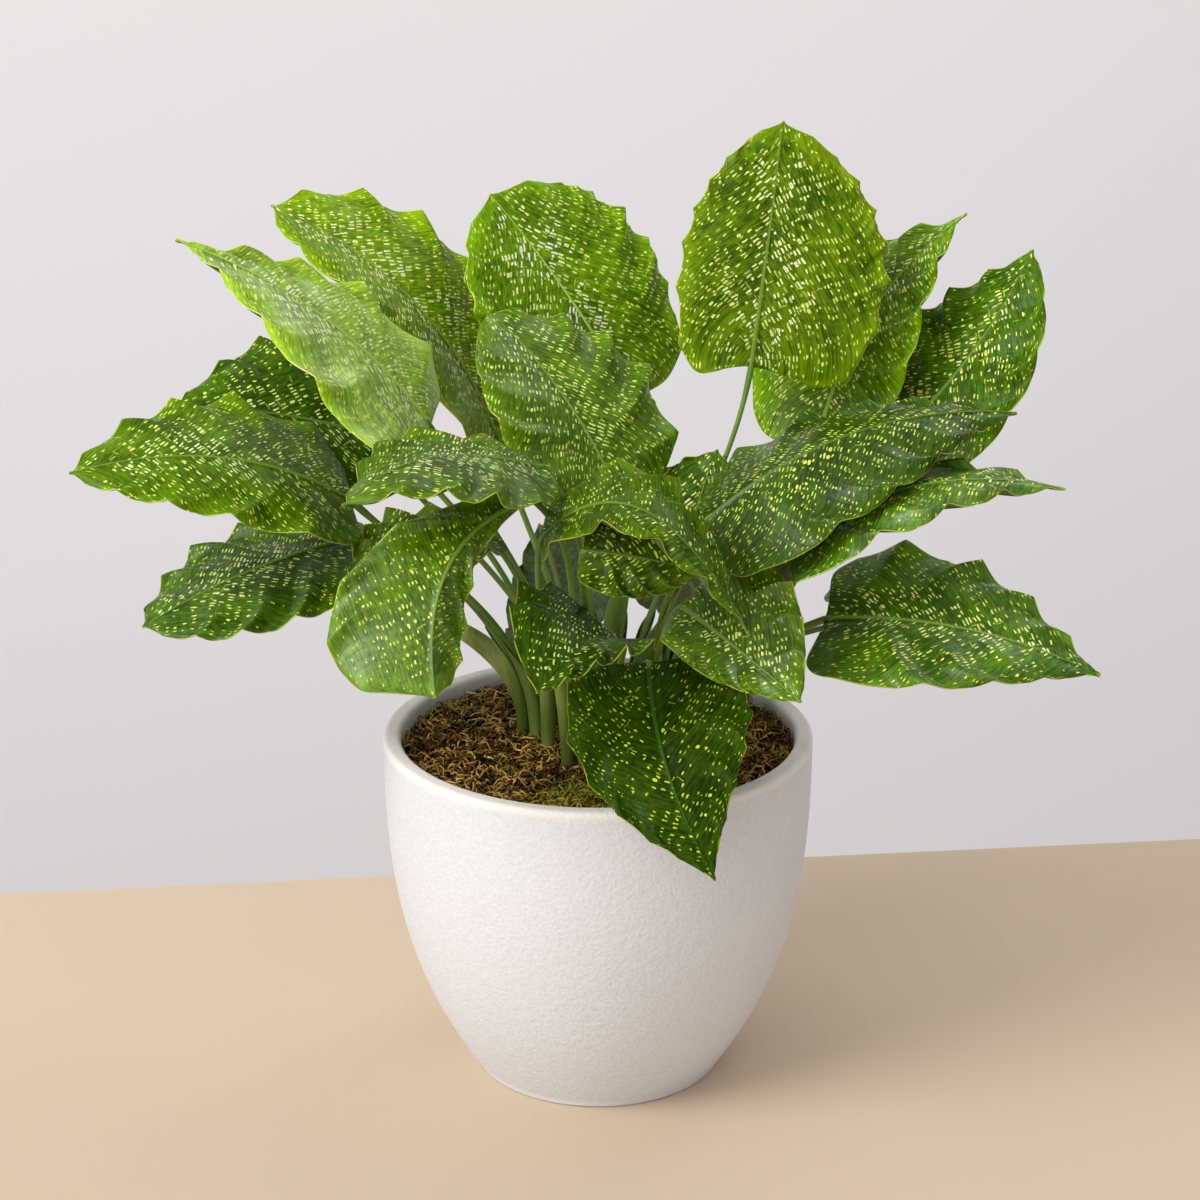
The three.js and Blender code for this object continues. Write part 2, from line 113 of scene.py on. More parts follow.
class Wiring:
    # Adds nodes to a tree. What goes in may be a flow, a number, a colour or a vector.
    def __init__(self, tree):
        self.tree = tree

    def put(self, value, socket):
        if isinstance(value, Flow):
            self.tree.links.new(value.socket, socket)
        else:
            socket.default_value = value

    def node(self, kind, inputs, **settings):
        node = self.tree.nodes.new(kind)
        for key, value in settings.items():
            setattr(node, key, value)
        for key, value in inputs.items():
            self.put(value, node.inputs[key])
        return node

    def flow(self, kind, inputs=None, output=0, **settings):
        return Flow(self, self.node(kind, inputs or {}, **settings).outputs[output])

    def math(self, operation, *values):
        return self.flow("ShaderNodeMath", dict(enumerate(values)), operation=operation)

    def larger(self, a, b):
        return self.math("MAXIMUM", a, b)

    def smaller(self, a, b):
        return self.math("MINIMUM", a, b)

    def isOver(self, value, limit):
        return self.math("GREATER_THAN", value, limit)

    def isUnder(self, value, limit):
        return self.math("LESS_THAN", value, limit)

    def whole(self, value):
        return self.math("FLOOR", value)

    def rest(self, value):
        return self.math("FRACT", value)

    def distance(self, x, y):
        return self.math("SQRT", x * x + y * y)

    def smooth(self, value, low, high, start=0.0, end=1.0):
        inputs = dict(enumerate((value, low, high, start, end)))
        return self.flow("ShaderNodeMapRange", inputs, interpolation_type="SMOOTHSTEP")

    def fade(self, value, low, high):
        return self.smooth(value, low, high, 1.0, 0.0)

    def mix(self, factor, a, b):
        return self.flow("ShaderNodeMix", {0: factor, 6: a, 7: b}, 2, data_type="RGBA", clamp_factor=True)

    def vector(self, x, y, z=0.0):
        return self.flow("ShaderNodeCombineXYZ", {0: x, 1: y, 2: z})

    def parts(self, value):
        node = self.node("ShaderNodeSeparateXYZ", {0: value})
        return [Flow(self, socket) for socket in node.outputs]

    def noise(self, vector, scale=1.0, detail=2.0, roughness=0.5, output=0):
        inputs = {"Vector": vector, "Scale": scale, "Detail": detail, "Roughness": roughness}
        return self.flow("ShaderNodeTexNoise", inputs, output)

    def random(self, x, y, z):
        node = self.node("ShaderNodeTexWhiteNoise", {"Vector": self.vector(x, y, z)}, noise_dimensions="3D")
        return Flow(self, node.outputs[0]), self.parts(Flow(self, node.outputs[1]))

    def place(self):
        return self.flow("ShaderNodeTexCoord", output="Object")

    def layer(self, name):
        return self.flow("ShaderNodeAttribute", output="Fac", attribute_name=name)

    # The material's colour, roughness and relief; the distance of the relief is in mm.
    def surface(self, skin, roughness, height, distance, strength=1.0):
        relief = {"Strength": strength, "Distance": distance * mm, "Height": height}
        self.put(skin, self.shader.inputs["Base Color"])
        self.put(roughness, self.shader.inputs["Roughness"])
        self.put(self.flow("ShaderNodeBump", relief), self.shader.inputs["Normal"])
        return self.material


socketKinds = {"value": "NodeSocketFloat", "vector": "NodeSocketVector", "colour": "NodeSocketColor",
               "int": "NodeSocketInt", "geometry": "NodeSocketGeometry", "material": "NodeSocketMaterial"}


def newGroup(name, inputs, outputs, kind="ShaderNodeTree"):
    tree = bpy.data.node_groups.new(name, kind)
    for direction, sockets in (("INPUT", inputs), ("OUTPUT", outputs)):
        for label, socket in sockets.items():
            tree.interface.new_socket(name=label, in_out=direction, socket_type=socketKinds[socket])
    w = Wiring(tree)
    given = w.node("NodeGroupInput", {}).outputs
    result = w.node("NodeGroupOutput", {}).inputs
    return tree, w, {label: Flow(w, given[label]) for label in inputs}, result


def newMaterial(name, **constants):
    w = Wiring(None)
    w.material = bpy.data.materials.new(name)
    w.material.use_nodes = True
    w.tree = w.material.node_tree
    w.shader = w.tree.nodes["Principled BSDF"]
    for key, value in constants.items():
        w.shader.inputs[key.replace("_", " ")].default_value = value
    return w


# Camera, table, wall and light

studio = {
    "cameraPlace": (0.001, -1.2, 0.642),
    "cameraPitch": 0.325,  # radians below the horizon
    "lens": 79.95,
    "sensor": 36,
    "tableEdge": ((-0.34, 0.182), (0.3585, 0.2594)),  # the table's far edge, at two places
    "tableHalf": 2.2, "tableFront": -2.4, "tableColour": "d2bfa6",
    "wallAway": 1.9, "wallHalf": 4, "wallFoot": -3, "wallTop": 4, "wallColour": "edeaeb",
    "sky": "f4f3f5", "ambient": 0.6,
    "lights": {  # where from, where to, size, power and colour
        "key": ((-2.3, -1.6, 2.3), (0, 0, 0.2), 2.0, 92, "fffefc"),
        "fill": ((-1.2, -2.6, 1.0), (0, 0, 0.2), 1.4, 12, "ffffff"),
        "sheen": ((0.75, 0.9, 1.7), (0, 0, 0.3), 0.9, 6.5, "ffffff"),
    },
}


def setCamera():
    camera = addObject("camera", bpy.data.cameras.new("camera"))
    camera.data.lens = studio["lens"]
    camera.data.sensor_width = studio["sensor"]
    camera.location = studio["cameraPlace"]
    camera.rotation_euler = (math.pi / 2 - studio["cameraPitch"], 0, 0)
    bpy.context.scene.camera = camera


def addAreaLight(name, place, target, size, power, tint):
    light = bpy.data.lights.new(name, "AREA")
    light.shape = "DISK"
    light.size = size
    light.energy = power
    light.color = colour(tint)[:3]
    lamp = addObject(name, light)
    lamp.location = place
    lamp.rotation_euler = (Vector(target) - Vector(place)).to_track_quat("-Z", "Y").to_euler()


def addStage(name, corners, material):
    addObject(name, newMesh(name, corners, [tuple(range(len(corners)))], materials=[material]))


def makeStudio():
    setCamera()
    scene = bpy.context.scene
    scene.view_settings.view_transform = "Standard"
    scene.world = bpy.data.worlds.new("studio")
    scene.world.use_nodes = True
    sky = scene.world.node_tree.nodes["Background"]
    sky.inputs["Color"].default_value = colour(studio["sky"])
    sky.inputs["Strength"].default_value = studio["ambient"]
    table = newMaterial("tableTop", Base_Color=colour(studio["tableColour"]), Roughness=0.75,
                        Specular_IOR_Level=0.2)
    wall = newMaterial("wall", Base_Color=colour(studio["wallColour"]), Roughness=0.9,
                       Specular_IOR_Level=0.1)
    (x0, y0), (x1, y1) = studio["tableEdge"]
    slope = (y1 - y0) / (x1 - x0)
    half, front, away = studio["tableHalf"], studio["tableFront"], studio["wallAway"]
    addStage("table_top", [(-half, front, 0), (half, front, 0), (half, y0 + slope * (half - x0), 0),
                           (-half, y0 + slope * (-half - x0), 0)], table.material)
    half, foot, top = studio["wallHalf"], studio["wallFoot"], studio["wallTop"]
    addStage("wall", [(-half, away, foot), (half, away, foot), (half, away, top), (-half, away, top)],
             wall.material)
    for name, values in studio["lights"].items():
        addAreaLight(name, *values)


# Leaf finish: rungs of pale dashes between the side veins, on green that varies along them

pattern = {
    "cellWidth": 4.2,  # between two side veins, in mm
    "cellPitch": 1.8,  # between two dashes along a vein
    "dots": 0.13, "rings": 0.06,  # how many of the dashes are round dots, and hollow
    "relief": 0.22, "undersideRelief": 0.2, "reliefStrength": 0.6,  # the first two in mm
}
finishOutputs = {"Colour": "colour", "Roughness": "value", "Height": "value"}


def dashGroup():
    inputs = {"Veins": "vector", "Blade": "vector", "Edge": "vector", "Spread": "vector", "Seed": "value",
              "Fill": "value", "Size": "value", "Whiteness": "value", "Glow": "value", "Deep": "colour",
              "Light": "colour", "Dash": "colour", "Pale": "colour", "Rib": "colour"}
    tree, w, given, result = newGroup("calatheaDashes", inputs, finishOutputs)
    across, along, _ = w.parts(given["Veins"])
    share, side, _ = w.parts(given["Blade"])
    ribAway, edgeAway, _ = w.parts(given["Edge"])
    seed = given["Seed"] + w.math("SIGN", side) * 7.7
    sway = w.noise(w.vector(across * 0.05, along * 0.06, seed), detail=1.0)
    raggedX, raggedY, _ = w.parts(w.noise(w.vector(across * 0.5, along * 0.7, seed), detail=1.0, output=1))
    straight = along
    across = across + (sway - 0.5) * 3.0 + (raggedX - 0.5) * 1.1
    along = along + (raggedY - 0.5) * 1.1

    # a lane splits in two where the side veins have spread to twice their distance
    spread, _, _ = w.parts(given["Spread"])
    width, pitch = pattern["cellWidth"], pattern["cellPitch"]
    doublings = w.math("ROUND", w.math("LOGARITHM", w.larger(spread, 0.2), 2.0))
    split = w.math("POWER", 2.0, doublings)
    laneWidth = spread * width / split
    lane = across * split / width
    laneIndex = w.whole(lane) + doublings * 500.0
    inLane = w.rest(lane) - 0.5
    shift, _ = w.random(laneIndex, seed, 3.0)
    rung = along / pitch + shift * 9.0
    inRung = w.rest(rung) - 0.5
    chance, (one, two, three) = w.random(laneIndex, w.whole(rung), seed)

    near = w.fade(abs(side), 0.1, 0.75)  # to the midrib
    nearTip = w.smooth(share, 0.72, 0.97)
    patches = w.noise(w.vector(across * 0.06, along * 0.08, seed + 5.0))

    # how likely, long and thick a dash is; some are round dots, some hollow
    fill = given["Fill"] + (patches - 0.5) * 1.1 - nearTip * 0.12 + near * 0.08
    present = w.isUnder(chance, fill)
    size = given["Size"] * (0.62 + near * 0.45 - nearTip * 0.15)
    isDot = w.isUnder(three, pattern["dots"])
    isRing = w.isOver(three * present, 1 - pattern["rings"])
    halfLong = w.smaller((0.3 + (0.5 + one * 1.5) * (1.0 - isDot)) * size, laneWidth * 0.46)
    halfThick = (0.1 + two * 0.17 + isDot * 0.2) * size + isRing * 0.4
    x = inLane * laneWidth + (three - 0.5) * 1.3
    y = inRung * pitch + x * (one - 0.5) * 0.35 + (two - 0.5) * 0.5
    core = w.larger(halfLong - halfThick, 0.0)
    distance = w.distance(w.larger(abs(x) - core, 0.0), y) - halfThick
    ring = abs(distance + 0.22) - 0.16
    distance = distance * (1.0 - isRing) + ring * isRing
    mask = w.fade(distance, -0.05, 0.3) * present
    halo = w.fade(distance, 0.0, 0.9) * present

    # rare strokes along the vein join two rungs
    joinChance, _ = w.random(laneIndex, w.whole(rung * 0.5), seed + 31.0)
    stroke = w.fade(abs(abs(inLane) - 0.33), 0.03, 0.08)
    join = stroke * w.isOver(joinChance, 0.95) * (near * 0.7)
    join = join * w.isOver(inLane * (joinChance - 0.975), 0.0)

    # the green: fine streaks that run with the dashes, dark spots between them, lighter clouds, and a
    # painted glow towards the margin
    streaks = w.noise(w.vector(across * 0.16, straight * 1.5, seed), roughness=0.6)
    spots = w.noise(w.vector(across * 0.3, along * 0.45, seed + 9.0), detail=1.0)
    clouds = w.noise(w.vector(across * 0.05, along * 0.055, seed + 2.0))
    lines = w.math("SINE", across * (2 * math.pi / (width / 3)))
    # painted light: Glow makes the ground lighter towards the margin, fading out 12 mm in
    glow = given["Glow"] * w.fade(edgeAway, 1.0, 12.0)
    lightness = (w.smooth(streaks, 0.4, 0.62) * 0.5 + w.smooth(spots, 0.4, 0.6) * 0.2 + (clouds - 0.5) * 1.3
                 + halo * 0.3 + lines * 0.04 + glow)
    green = w.mix(w.larger(lightness, 0.0), given["Deep"], given["Light"])
    whiten = (given["Whiteness"] * (near * 0.85 + 0.15) * w.smooth(patches, 0.35, 0.6, 0.3, 1.0)
              * (0.35 + two + isDot * 0.3))
    dash = w.mix(whiten, given["Dash"], given["Pale"])
    skin = w.mix(join * 0.6, green, given["Dash"])
    skin = w.mix(mask * w.smooth(two, 0.0, 0.6, 0.5, 1.0), skin, dash)

    # midrib and margin; painted shade: a darker band on each side of the raised midrib
    ribWidth = w.smooth(share, 0.0, 1.0, 1.3, 0.3)
    rib = w.fade(ribAway, ribWidth * 0.6, ribWidth)
    beside = w.smooth(ribAway, ribWidth, ribWidth * 2.2, 0.45, 0.0) * (1.0 - rib)
    skin = w.mix(beside, skin, given["Deep"])
    skin = w.mix(rib * 0.95, skin, given["Rib"])
    margin = w.fade(edgeAway, 0.1, 0.5)
    skin = w.mix(margin * 0.8, skin, w.mix(0.5, given["Dash"], given["Light"]))
    w.put(skin, result["Colour"])

    # satin, less so on the dashes, and a low pillow between two side veins
    speckle = w.noise(w.vector(across * 0.9, along * 0.9, seed))
    w.put(0.36 + (speckle - 0.5) * 0.12 + mask * 0.04 + clouds * 0.06, result["Roughness"])
    pillow = 1.0 - (inLane * 2.0) ** 2.0
    w.put(pillow * 0.55 + speckle * 0.5 - mask * 0.25 + lines * 0.08, result["Height"])
    return tree


def undersideGroup():
    inputs = {"Veins": "vector", "Edge": "vector", "Seed": "value", "Deep": "colour", "Light": "colour"}
    tree, w, given, result = newGroup("calatheaUnderside", inputs, finishOutputs)
    across, along, _ = w.parts(given["Veins"])
    ribAway, _, _ = w.parts(given["Edge"])
    lane, rung = across / pattern["cellWidth"], along / pattern["cellPitch"]
    chance, _ = w.random(w.whole(lane), w.whole(rung), given["Seed"])
    vein = w.smooth(abs(w.rest(lane) - 0.5), 0.36, 0.48)
    cross = w.smooth(abs(w.rest(rung) - 0.5), 0.3, 0.46)
    cell = (1.0 - vein) * (1.0 - cross) * chance
    blotch = w.noise(w.vector(across * 0.08, along * 0.05, given["Seed"]), detail=3.0)
    tone = blotch * 0.9 + cell * 0.45 - vein * 0.18 - 0.15
    skin = w.mix(w.larger(tone, 0.0), given["Deep"], given["Light"])
    rib = w.fade(ribAway, 0.6, 1.8)
    w.put(w.mix(rib * 0.8, skin, colour(undersideTint["Rib"])), result["Colour"])
    w.put(0.5 + blotch * 0.12, result["Roughness"])
    w.put(vein * 0.8 + cross * 0.35 + blotch * 0.5, result["Height"])
    return tree


# Greens of the leaves: the ground between the dashes, its lighter streaks, the dashes and the palest dashes
# Glow is painted light: how much lighter the ground is made towards the margin
tints = {
    "bright": {"Deep": "425e00", "Light": "7ea200", "Dash": "e8f05a", "Pale": "fffff0", "Rib": "809a2c",
               "Fill": 0.54, "Size": 0.96, "Whiteness": 0.6, "Glow": 0.5},
    "mid": {"Deep": "304a00", "Light": "628800", "Dash": "e6f25c", "Pale": "ffffee", "Rib": "6c8c30",
            "Fill": 0.52, "Size": 0.93, "Whiteness": 0.5, "Glow": 0.35},
    "dark": {"Deep": "1e3400", "Light": "466a00", "Dash": "dcea50", "Pale": "ffffd4", "Rib": "526f20",
             "Fill": 0.48, "Size": 0.9, "Whiteness": 0.35, "Glow": 0.2},
}
undersideTint = {"Deep": "2c401a", "Light": "62763e", "Rib": "7c8e48"}
stalkTint = {
    # the pale sheath colours are partly the sheath's own and partly painted light, lighter to stand for
    # light the leaves above block
    "foot": "425612", "top": "668e26", "blotch": "86a03a", "sheath": "86963e", "paleSheath": "bcc874",
    "joint": "5c7a26", "grain": "24380c",
    "height": (170, 270),  # where the foot's green turns into the top's, in mm
}


# Places the finish over a leaf's own UV maps.
def finishedByGroup(w, group, inputs, maps, relief):
    inputs = inputs | {label: w.flow("ShaderNodeUVMap", uv_map=label.lower()) for label in maps}
    made = w.node("ShaderNodeGroup", {}, node_tree=group)
    for key, value in inputs.items():
        w.put(value, made.inputs[key])
    skin, roughness, height = (Flow(w, made.outputs[label]) for label in finishOutputs)
    return w.surface(skin, roughness, height, relief, pattern["reliefStrength"])


def leafMaterial(number, leaf, group):
    w = newMaterial(f"leafUpper{number:02d}", Specular_IOR_Level=leaf["sheen"])
    inputs = {"Seed": number * 3.1}
    # Each leaf's tint and shade are partly its own green and partly painted light: a well-lit leaf is made
    # lighter, one in shade darker.
    for key, value in {**tints[leaf["tint"]], **leaf.get("finish", {})}.items():
        if isinstance(value, str):  # the ground takes the leaf's shade in full, the dashes less
            shade = leaf["shade"] if key in ("Deep", "Light", "Rib") else leaf["shade"] ** 0.5
            value = tuple(min(c * shade, 1.0) for c in colour(value)[:3]) + (1.0,)
        inputs[key] = value
    return finishedByGroup(w, group, inputs, ("Veins", "Blade", "Edge", "Spread"), pattern["relief"])


def undersideMaterial(group):
    w = newMaterial("leafUnderside", Specular_IOR_Level=0.35)
    inputs = {"Seed": 4.0, "Deep": colour(undersideTint["Deep"]), "Light": colour(undersideTint["Light"])}
    return finishedByGroup(w, group, inputs, ("Veins", "Edge"), pattern["undersideRelief"])


def stalkMaterial():
    w = newMaterial("leafStalk", Specular_IOR_Level=0.45)
    tint = {key: colour(value) for key, value in stalkTint.items() if key != "height"}
    low, high = stalkTint["height"]
    x, y, z = w.parts(w.place())
    grain = w.noise(w.vector(x * 900.0, y * 900.0, z * 30.0), detail=3.0)
    blotch = w.noise(w.vector(x * 60.0, y * 60.0, z * 18.0))
    skin = w.mix(w.smooth(z, low * mm, high * mm), tint["foot"], tint["top"])
    skin = w.mix(w.smooth(blotch, 0.4, 0.7) * 0.55, skin, tint["blotch"])
    # painted light in part: the sheath's pale green, made lighter to stand for light that the leaves above
    # it block
    pale = w.mix(w.smooth(blotch, 0.35, 0.7), tint["sheath"], tint["paleSheath"])
    skin = w.mix(w.layer("sheath"), skin, pale)
    skin = w.mix(w.layer("joint") * 0.6, skin, tint["joint"])
    skin = w.mix(w.smooth(grain, 0.45, 0.75) * 0.3, skin, tint["grain"])
    return w.surface(skin, 0.38 + grain * 0.14, grain, 0.25, 0.6)


# Leaves. Sizes are in mm, or shares of the blade or stalk they belong to.

filling = {
    "mixTop": 152.0, "mossTop": 163.0, "lumps": 1.6, "lumpLength": 8.0, "mound": 2.5, "rootDepth": 16.0,
}
bladeForm = {
    "thickness": 0.5, "ribAbove": 0.8, "ribBelow": 1.2, "ribGirth": 1.05, "ribTipGirth": 0.5,
    "grooveDepth": 0.4, "grooveAway": 2.6,  # beside the rib, against its height and its girth
    "midribLag": -0.2, "marginLead": 0.13,  # how far forward the side veins run
    "veinBow": 0.4,  # how much their course is bent like an S
    "lobeAt": 0.08, "stagger": 1 / 3,
    "apexFrom": 0.965, "apexLength": 0.022, "stretchFrom": 0.9,  # the small point at the tip
    "crestRound": 0.004, "notchRound": 0.001,
    "furrow": 0.34,  # height of the ridges between the teeth's own
    "drift": 0.22, "driftWaves": 4,  # height and number of the slow waves that differ from leaf to leaf
    "smallTooth": 0.035, "smallRipple": 0.3,  # the lesser teeth, against the half width and the ripple
    "fullTooth": 0.09,  # the tooth beside which the lesser ones have their full size
    "rowsPerWave": 18, "endRows": (0.06, 0.18, 0.4, 0.7),  # the last as shares of a row, at both ends
    "columns": 22, "ribColumns": (0.012, 0.03, 0.06),  # of one half, and the ones close to the midrib
    "courseColumn": 5,  # the column that gives a side vein's direction at the midrib
}
usual = {
    "arch": 8, "hook": 0, "bend": 0, "fold": 8, "cup": 0.1, "twist": 0, "uneven": 0, "waves": 5,
    "ripple": 3.5, "tooth": 0.065, "blunt": 0.42, "taper": 0.8, "stalk": 3.2, "neck": 1.8, "rise": 0.4,
    "lean": 0.45, "tint": "mid", "shade": 1.0, "sheen": 0.13, "unrest": 1.0, "lobe": 0.1,
    "flat": 1.8,  # exponent by which the waves grow from midrib to margin: the higher, the flatter inside
    "sheath": 60, "wrap": 150, "flare": 2.0, "pale": 0.25,  # its height, half turn, width and paleness
}
# Each leaf's tint and shade are partly painted light, set by how brightly that leaf is lit.
leaves = [
    dict(root=(30, 7), base=(72, 22, 346), tip=(86, 45, 455), face=(0, -1, 0.2), width=101,
         arch=4, fold=5, uneven=-0.19, taper=0.62, ripple=2, stalk=3, rise=0.55, lean=0.7, tint="bright",
         neck=1.5, flat=3.0, teeth=8, tooth=0.06, unrest=0.6, lobe=0.14, shade=0.9,
         sheen=0.1, finish={"Deep": "345200", "Dash": "f4ff70"}),
    dict(root=(8, 16), base=(17, 58, 320), tip=(-50, 64, 418), face=(0.5, -0.8, 0.35), width=108,
         arch=6, fold=6, uneven=-0.05, blunt=0.5, taper=0.5, ripple=3, tint="mid", flat=3.0, teeth=7,
         tooth=0.06, unrest=0.7, shade=1.85, finish={"Whiteness": 0.9, "Size": 1.05, "Rib": "86a244"}),
    dict(root=(2, -4), base=(9, -12, 294), tip=(-50, 25, 370), face=(0.45, -0.55, 0.7), width=102,
         arch=8, fold=9, uneven=-0.04, taper=0.65, tint="mid", shade=1.28, sheen=0.22, sheath=100, flare=6.0,
         finish={"Size": 0.84, "Whiteness": 0.3}),
    dict(root=(-10, 10), base=(-50, 56, 303), tip=(-151, 49, 416), face=(0.7, -0.45, 0.55), width=92,
         arch=20, fold=15, uneven=-0.1, blunt=0.38, taper=0.5, tint="bright", flat=2.6, lobe=0.2,
         shade=1.4),
    dict(root=(-16, 0), base=(-77, -16, 327), tip=(-181, -50, 419), face=(0.7, -0.35, 0.6), width=98,
         arch=13, fold=8, uneven=0.2, taper=1.2, tint="bright", shade=2.0, sheen=0.8),
    dict(root=(-24, 12), base=(-100, 33, 306), tip=(-197, 13, 328), face=(0.3, -0.6, 0.75), width=100,
         arch=8, fold=6, uneven=-0.1, tint="dark", shade=1.5),
    dict(root=(-4, -14), base=(-24, -67, 322), tip=(-105, -130, 324), face=(0.2, -0.05, 1), width=78,
         arch=4, hook=-22, fold=-4, uneven=-0.04, blunt=0.7, twist=-30, tint="mid", shade=0.95, sheen=0.22),
    dict(root=(-30, 0), base=(-112, -35, 297), tip=(-229, -75, 322), face=(0.35, -0.35, 0.85), width=88,
         arch=17, fold=2, uneven=-0.1, taper=0.7, tint="mid", flat=3.0, shade=1.3),
    dict(root=(-36, 6), base=(-106, -8, 273), tip=(-204, -60, 246), face=(-0.1, -0.3, 0.95), width=86,
         arch=6, fold=0, uneven=0.02, blunt=0.6, taper=0.65, tint="dark", shade=1.6, sheen=0.26),
    dict(root=(-24, -12), base=(-54, -34, 284), tip=(-110, -75, 274), face=(0, -0.15, 1), width=65,
         arch=6, fold=4, tint="mid", shade=0.62),
    dict(root=(-14, -26), base=(-29, -74, 310), tip=(-69, -145, 245), face=(0.4, -0.7, 0.6), width=64,
         arch=6, bend=-20, fold=-22, uneven=-0.4, blunt=1.4, taper=0.4, tint="mid", shade=1.35, sheen=0.45,
         finish={"Size": 0.66, "Whiteness": 0.1, "Fill": 0.44}),
    dict(root=(24, -10), base=(49, -40, 289), tip=(188, -22, 335), face=(-0.3, -0.3, 0.9), width=98,
         arch=18, fold=-10, taper=1, waves=6, tint="dark", shade=1.15, sheen=0.26, sheath=85, flare=5.0,
         finish={"Size": 0.74, "Whiteness": 0.1, "Fill": 0.54}),
    dict(root=(34, -4), base=(77, -44, 268), tip=(205, -62, 311), face=(-0.4, -0.15, 0.9), width=80,
         arch=20, fold=-4, uneven=0.18, taper=1.1, tint="dark", shade=2.1, sheen=0.55,
         finish={"Size": 0.8, "Whiteness": 0.1}),
    dict(root=(42, 6), base=(105, -40, 242), tip=(224, -72, 227), face=(0, -0.5, 0.85), width=90,
         arch=12, fold=10, taper=1, tint="dark", shade=2.1, sheen=0.32),
    dict(root=(32, 18), base=(106, 45, 302), tip=(174, 65, 409), face=(-0.6, -0.65, 0.5), width=86,
         arch=6, bend=10, fold=4, uneven=0.2, twist=50, blunt=0.6, taper=1, tint="mid", shade=1.9,
         sheath=100, flare=6.0),
    dict(root=(70, 30), base=(143, 52, 302), tip=(207, 60, 392), face=(-0.6, -0.65, 0.5), width=88,
         arch=4, bend=-10, fold=4, uneven=0.06, stalk=4.5, neck=3, rise=0.25, tint="dark", shade=1.95),
    dict(root=(14, -2), base=(40, 6, 252), tip=(56, 16, 306), face=(-0.4, -0.85, 0.35), width=70,
         arch=3, tint="dark", shade=1.6, sheath=90, flare=6.0),
    dict(root=(4, -36), base=(23, -72, 232), tip=(50, -142, 159), face=(-0.1, -0.75, 0.65), width=86,
         arch=10, bend=-6, fold=6, uneven=0.05, taper=1.05, tint="dark", flat=3.0, unrest=0.4, teeth=7,
         tooth=0.06, shade=0.8, sheen=0.06,
         finish={"Rib": "3c6c12", "Dash": "e4f438", "Whiteness": 0.0, "Size": 0.62, "Fill": 0.46}),
    dict(root=(25, -27), base=(38, -58, 254), tip=(87, -116, 231), face=(-0.4, -0.6, 0.7), width=62,
         arch=6, fold=5, uneven=0.35, tint="mid", shade=1.1, sheen=0.3,
         finish={"Size": 0.78, "Whiteness": 0.2}),
    dict(root=(-6, -38), base=(11, -84, 246), tip=(-25, -140, 244), face=(0.1, -0.2, 1), width=70,
         arch=10, fold=20, uneven=-0.3, tint="dark", shade=0.9, sheen=0.1, finish={"Size": 0.74}),
    dict(root=(6, -22), base=(-6, -106, 296), tip=(44, -112, 288), face=(-0.1, -0.8, 0.6), width=40,
         arch=4, fold=8, blunt=0.5, lean=0.15, tint="mid", shade=0.6, finish={"Whiteness": 0.0}),
    dict(root=(-14, -35), base=(-25, -78, 292), tip=(62, -140, 272), face=(0.05, -0.4, 0.92), width=46,
         arch=40, fold=0, uneven=0.3, twist=70, blunt=0.26, taper=0.65, tint="mid", shade=0.85,
         finish={"Whiteness": 0.1, "Fill": 0.42, "Size": 0.72}),
    dict(root=(-20, 24), base=(-97, 62, 282), tip=(-172, 118, 290), face=(-0.1, 0.1, 1), width=88,
         arch=10, fold=4, tint="dark"),
    dict(root=(0, 28), base=(-14, 94, 286), tip=(-24, 160, 322), face=(0, 0.2, 1), width=90,
         arch=10, fold=6, tint="mid"),
    dict(root=(26, 30), base=(118, 82, 268), tip=(170, 150, 286), face=(0.1, 0.1, 1), width=90,
         arch=12, fold=4, tint="mid"),
    dict(root=(-8, 34), base=(-16, 58, 199), tip=(-30, 118, 238), face=(-0.1, 0.9, 0.4), width=72,
         arch=6, fold=8, rise=0.2, tint="dark"),
    dict(root=(40, 22), base=(134, 74, 207), tip=(198, 128, 187), face=(0.2, 0.1, 1), width=84,
         arch=12, fold=0, tint="dark"),
    dict(root=(-36, 20), base=(-124, 45, 241), tip=(-188, 100, 209), face=(-0.2, 0.1, 1), width=84,
         arch=12, fold=2, tint="dark", sheath=88, flare=7.0, wrap=95, sheathFace=(-0.55, -0.8), pale=1.0),
    dict(root=(16, 40), base=(38, 98, 222), tip=(62, 156, 158), face=(0.2, 0.7, 0.7), width=84,
         arch=10, fold=4, rise=0.3, tint="mid"),
]


def unit(vectors):
    return vectors / np.maximum(np.linalg.norm(vectors, axis=-1, keepdims=True), 1e-12)


class Rib:
    # The midrib runs from base to tip and bows off the straight line between them.
    def __init__(self, leaf):
        self.leaf = leaf
        self.base = np.array(leaf["base"], float)
        self.chord = np.array(leaf["tip"], float) - self.base
        self.length = np.linalg.norm(self.chord)
        along = self.chord / self.length
        face = np.array(leaf["face"], float)
        self.normal = unit(face - along * (face @ along))
        self.side = np.cross(self.normal, along)

    def point(self, s):
        s = np.asarray(s, float)[..., None]
        bow = 4 * s * (1 - s)
        curl = s**4 - s
        rise = self.leaf["arch"] * bow + self.leaf["hook"] * curl
        return self.base + self.chord * s + self.normal * rise + self.side * self.leaf["bend"] * bow

    def tangent(self, s):
        s = np.asarray(s, float)[..., None]
        slope = 4 - 8 * s
        rise = self.leaf["arch"] * slope + self.leaf["hook"] * (4 * s**3 - 1)
        return unit(self.chord + self.normal * rise + self.side * self.leaf["bend"] * slope)

    def frameAt(self, s):
        tangent = self.tangent(s)
        level = unit(self.normal - tangent * (tangent @ self.normal)[..., None])
        across = np.cross(level, tangent)
        roll = np.radians(self.leaf["twist"]) * (np.asarray(s) - 0.5)[..., None]
        return (tangent, across * np.cos(roll) - level * np.sin(roll),
                level * np.cos(roll) + across * np.sin(roll))


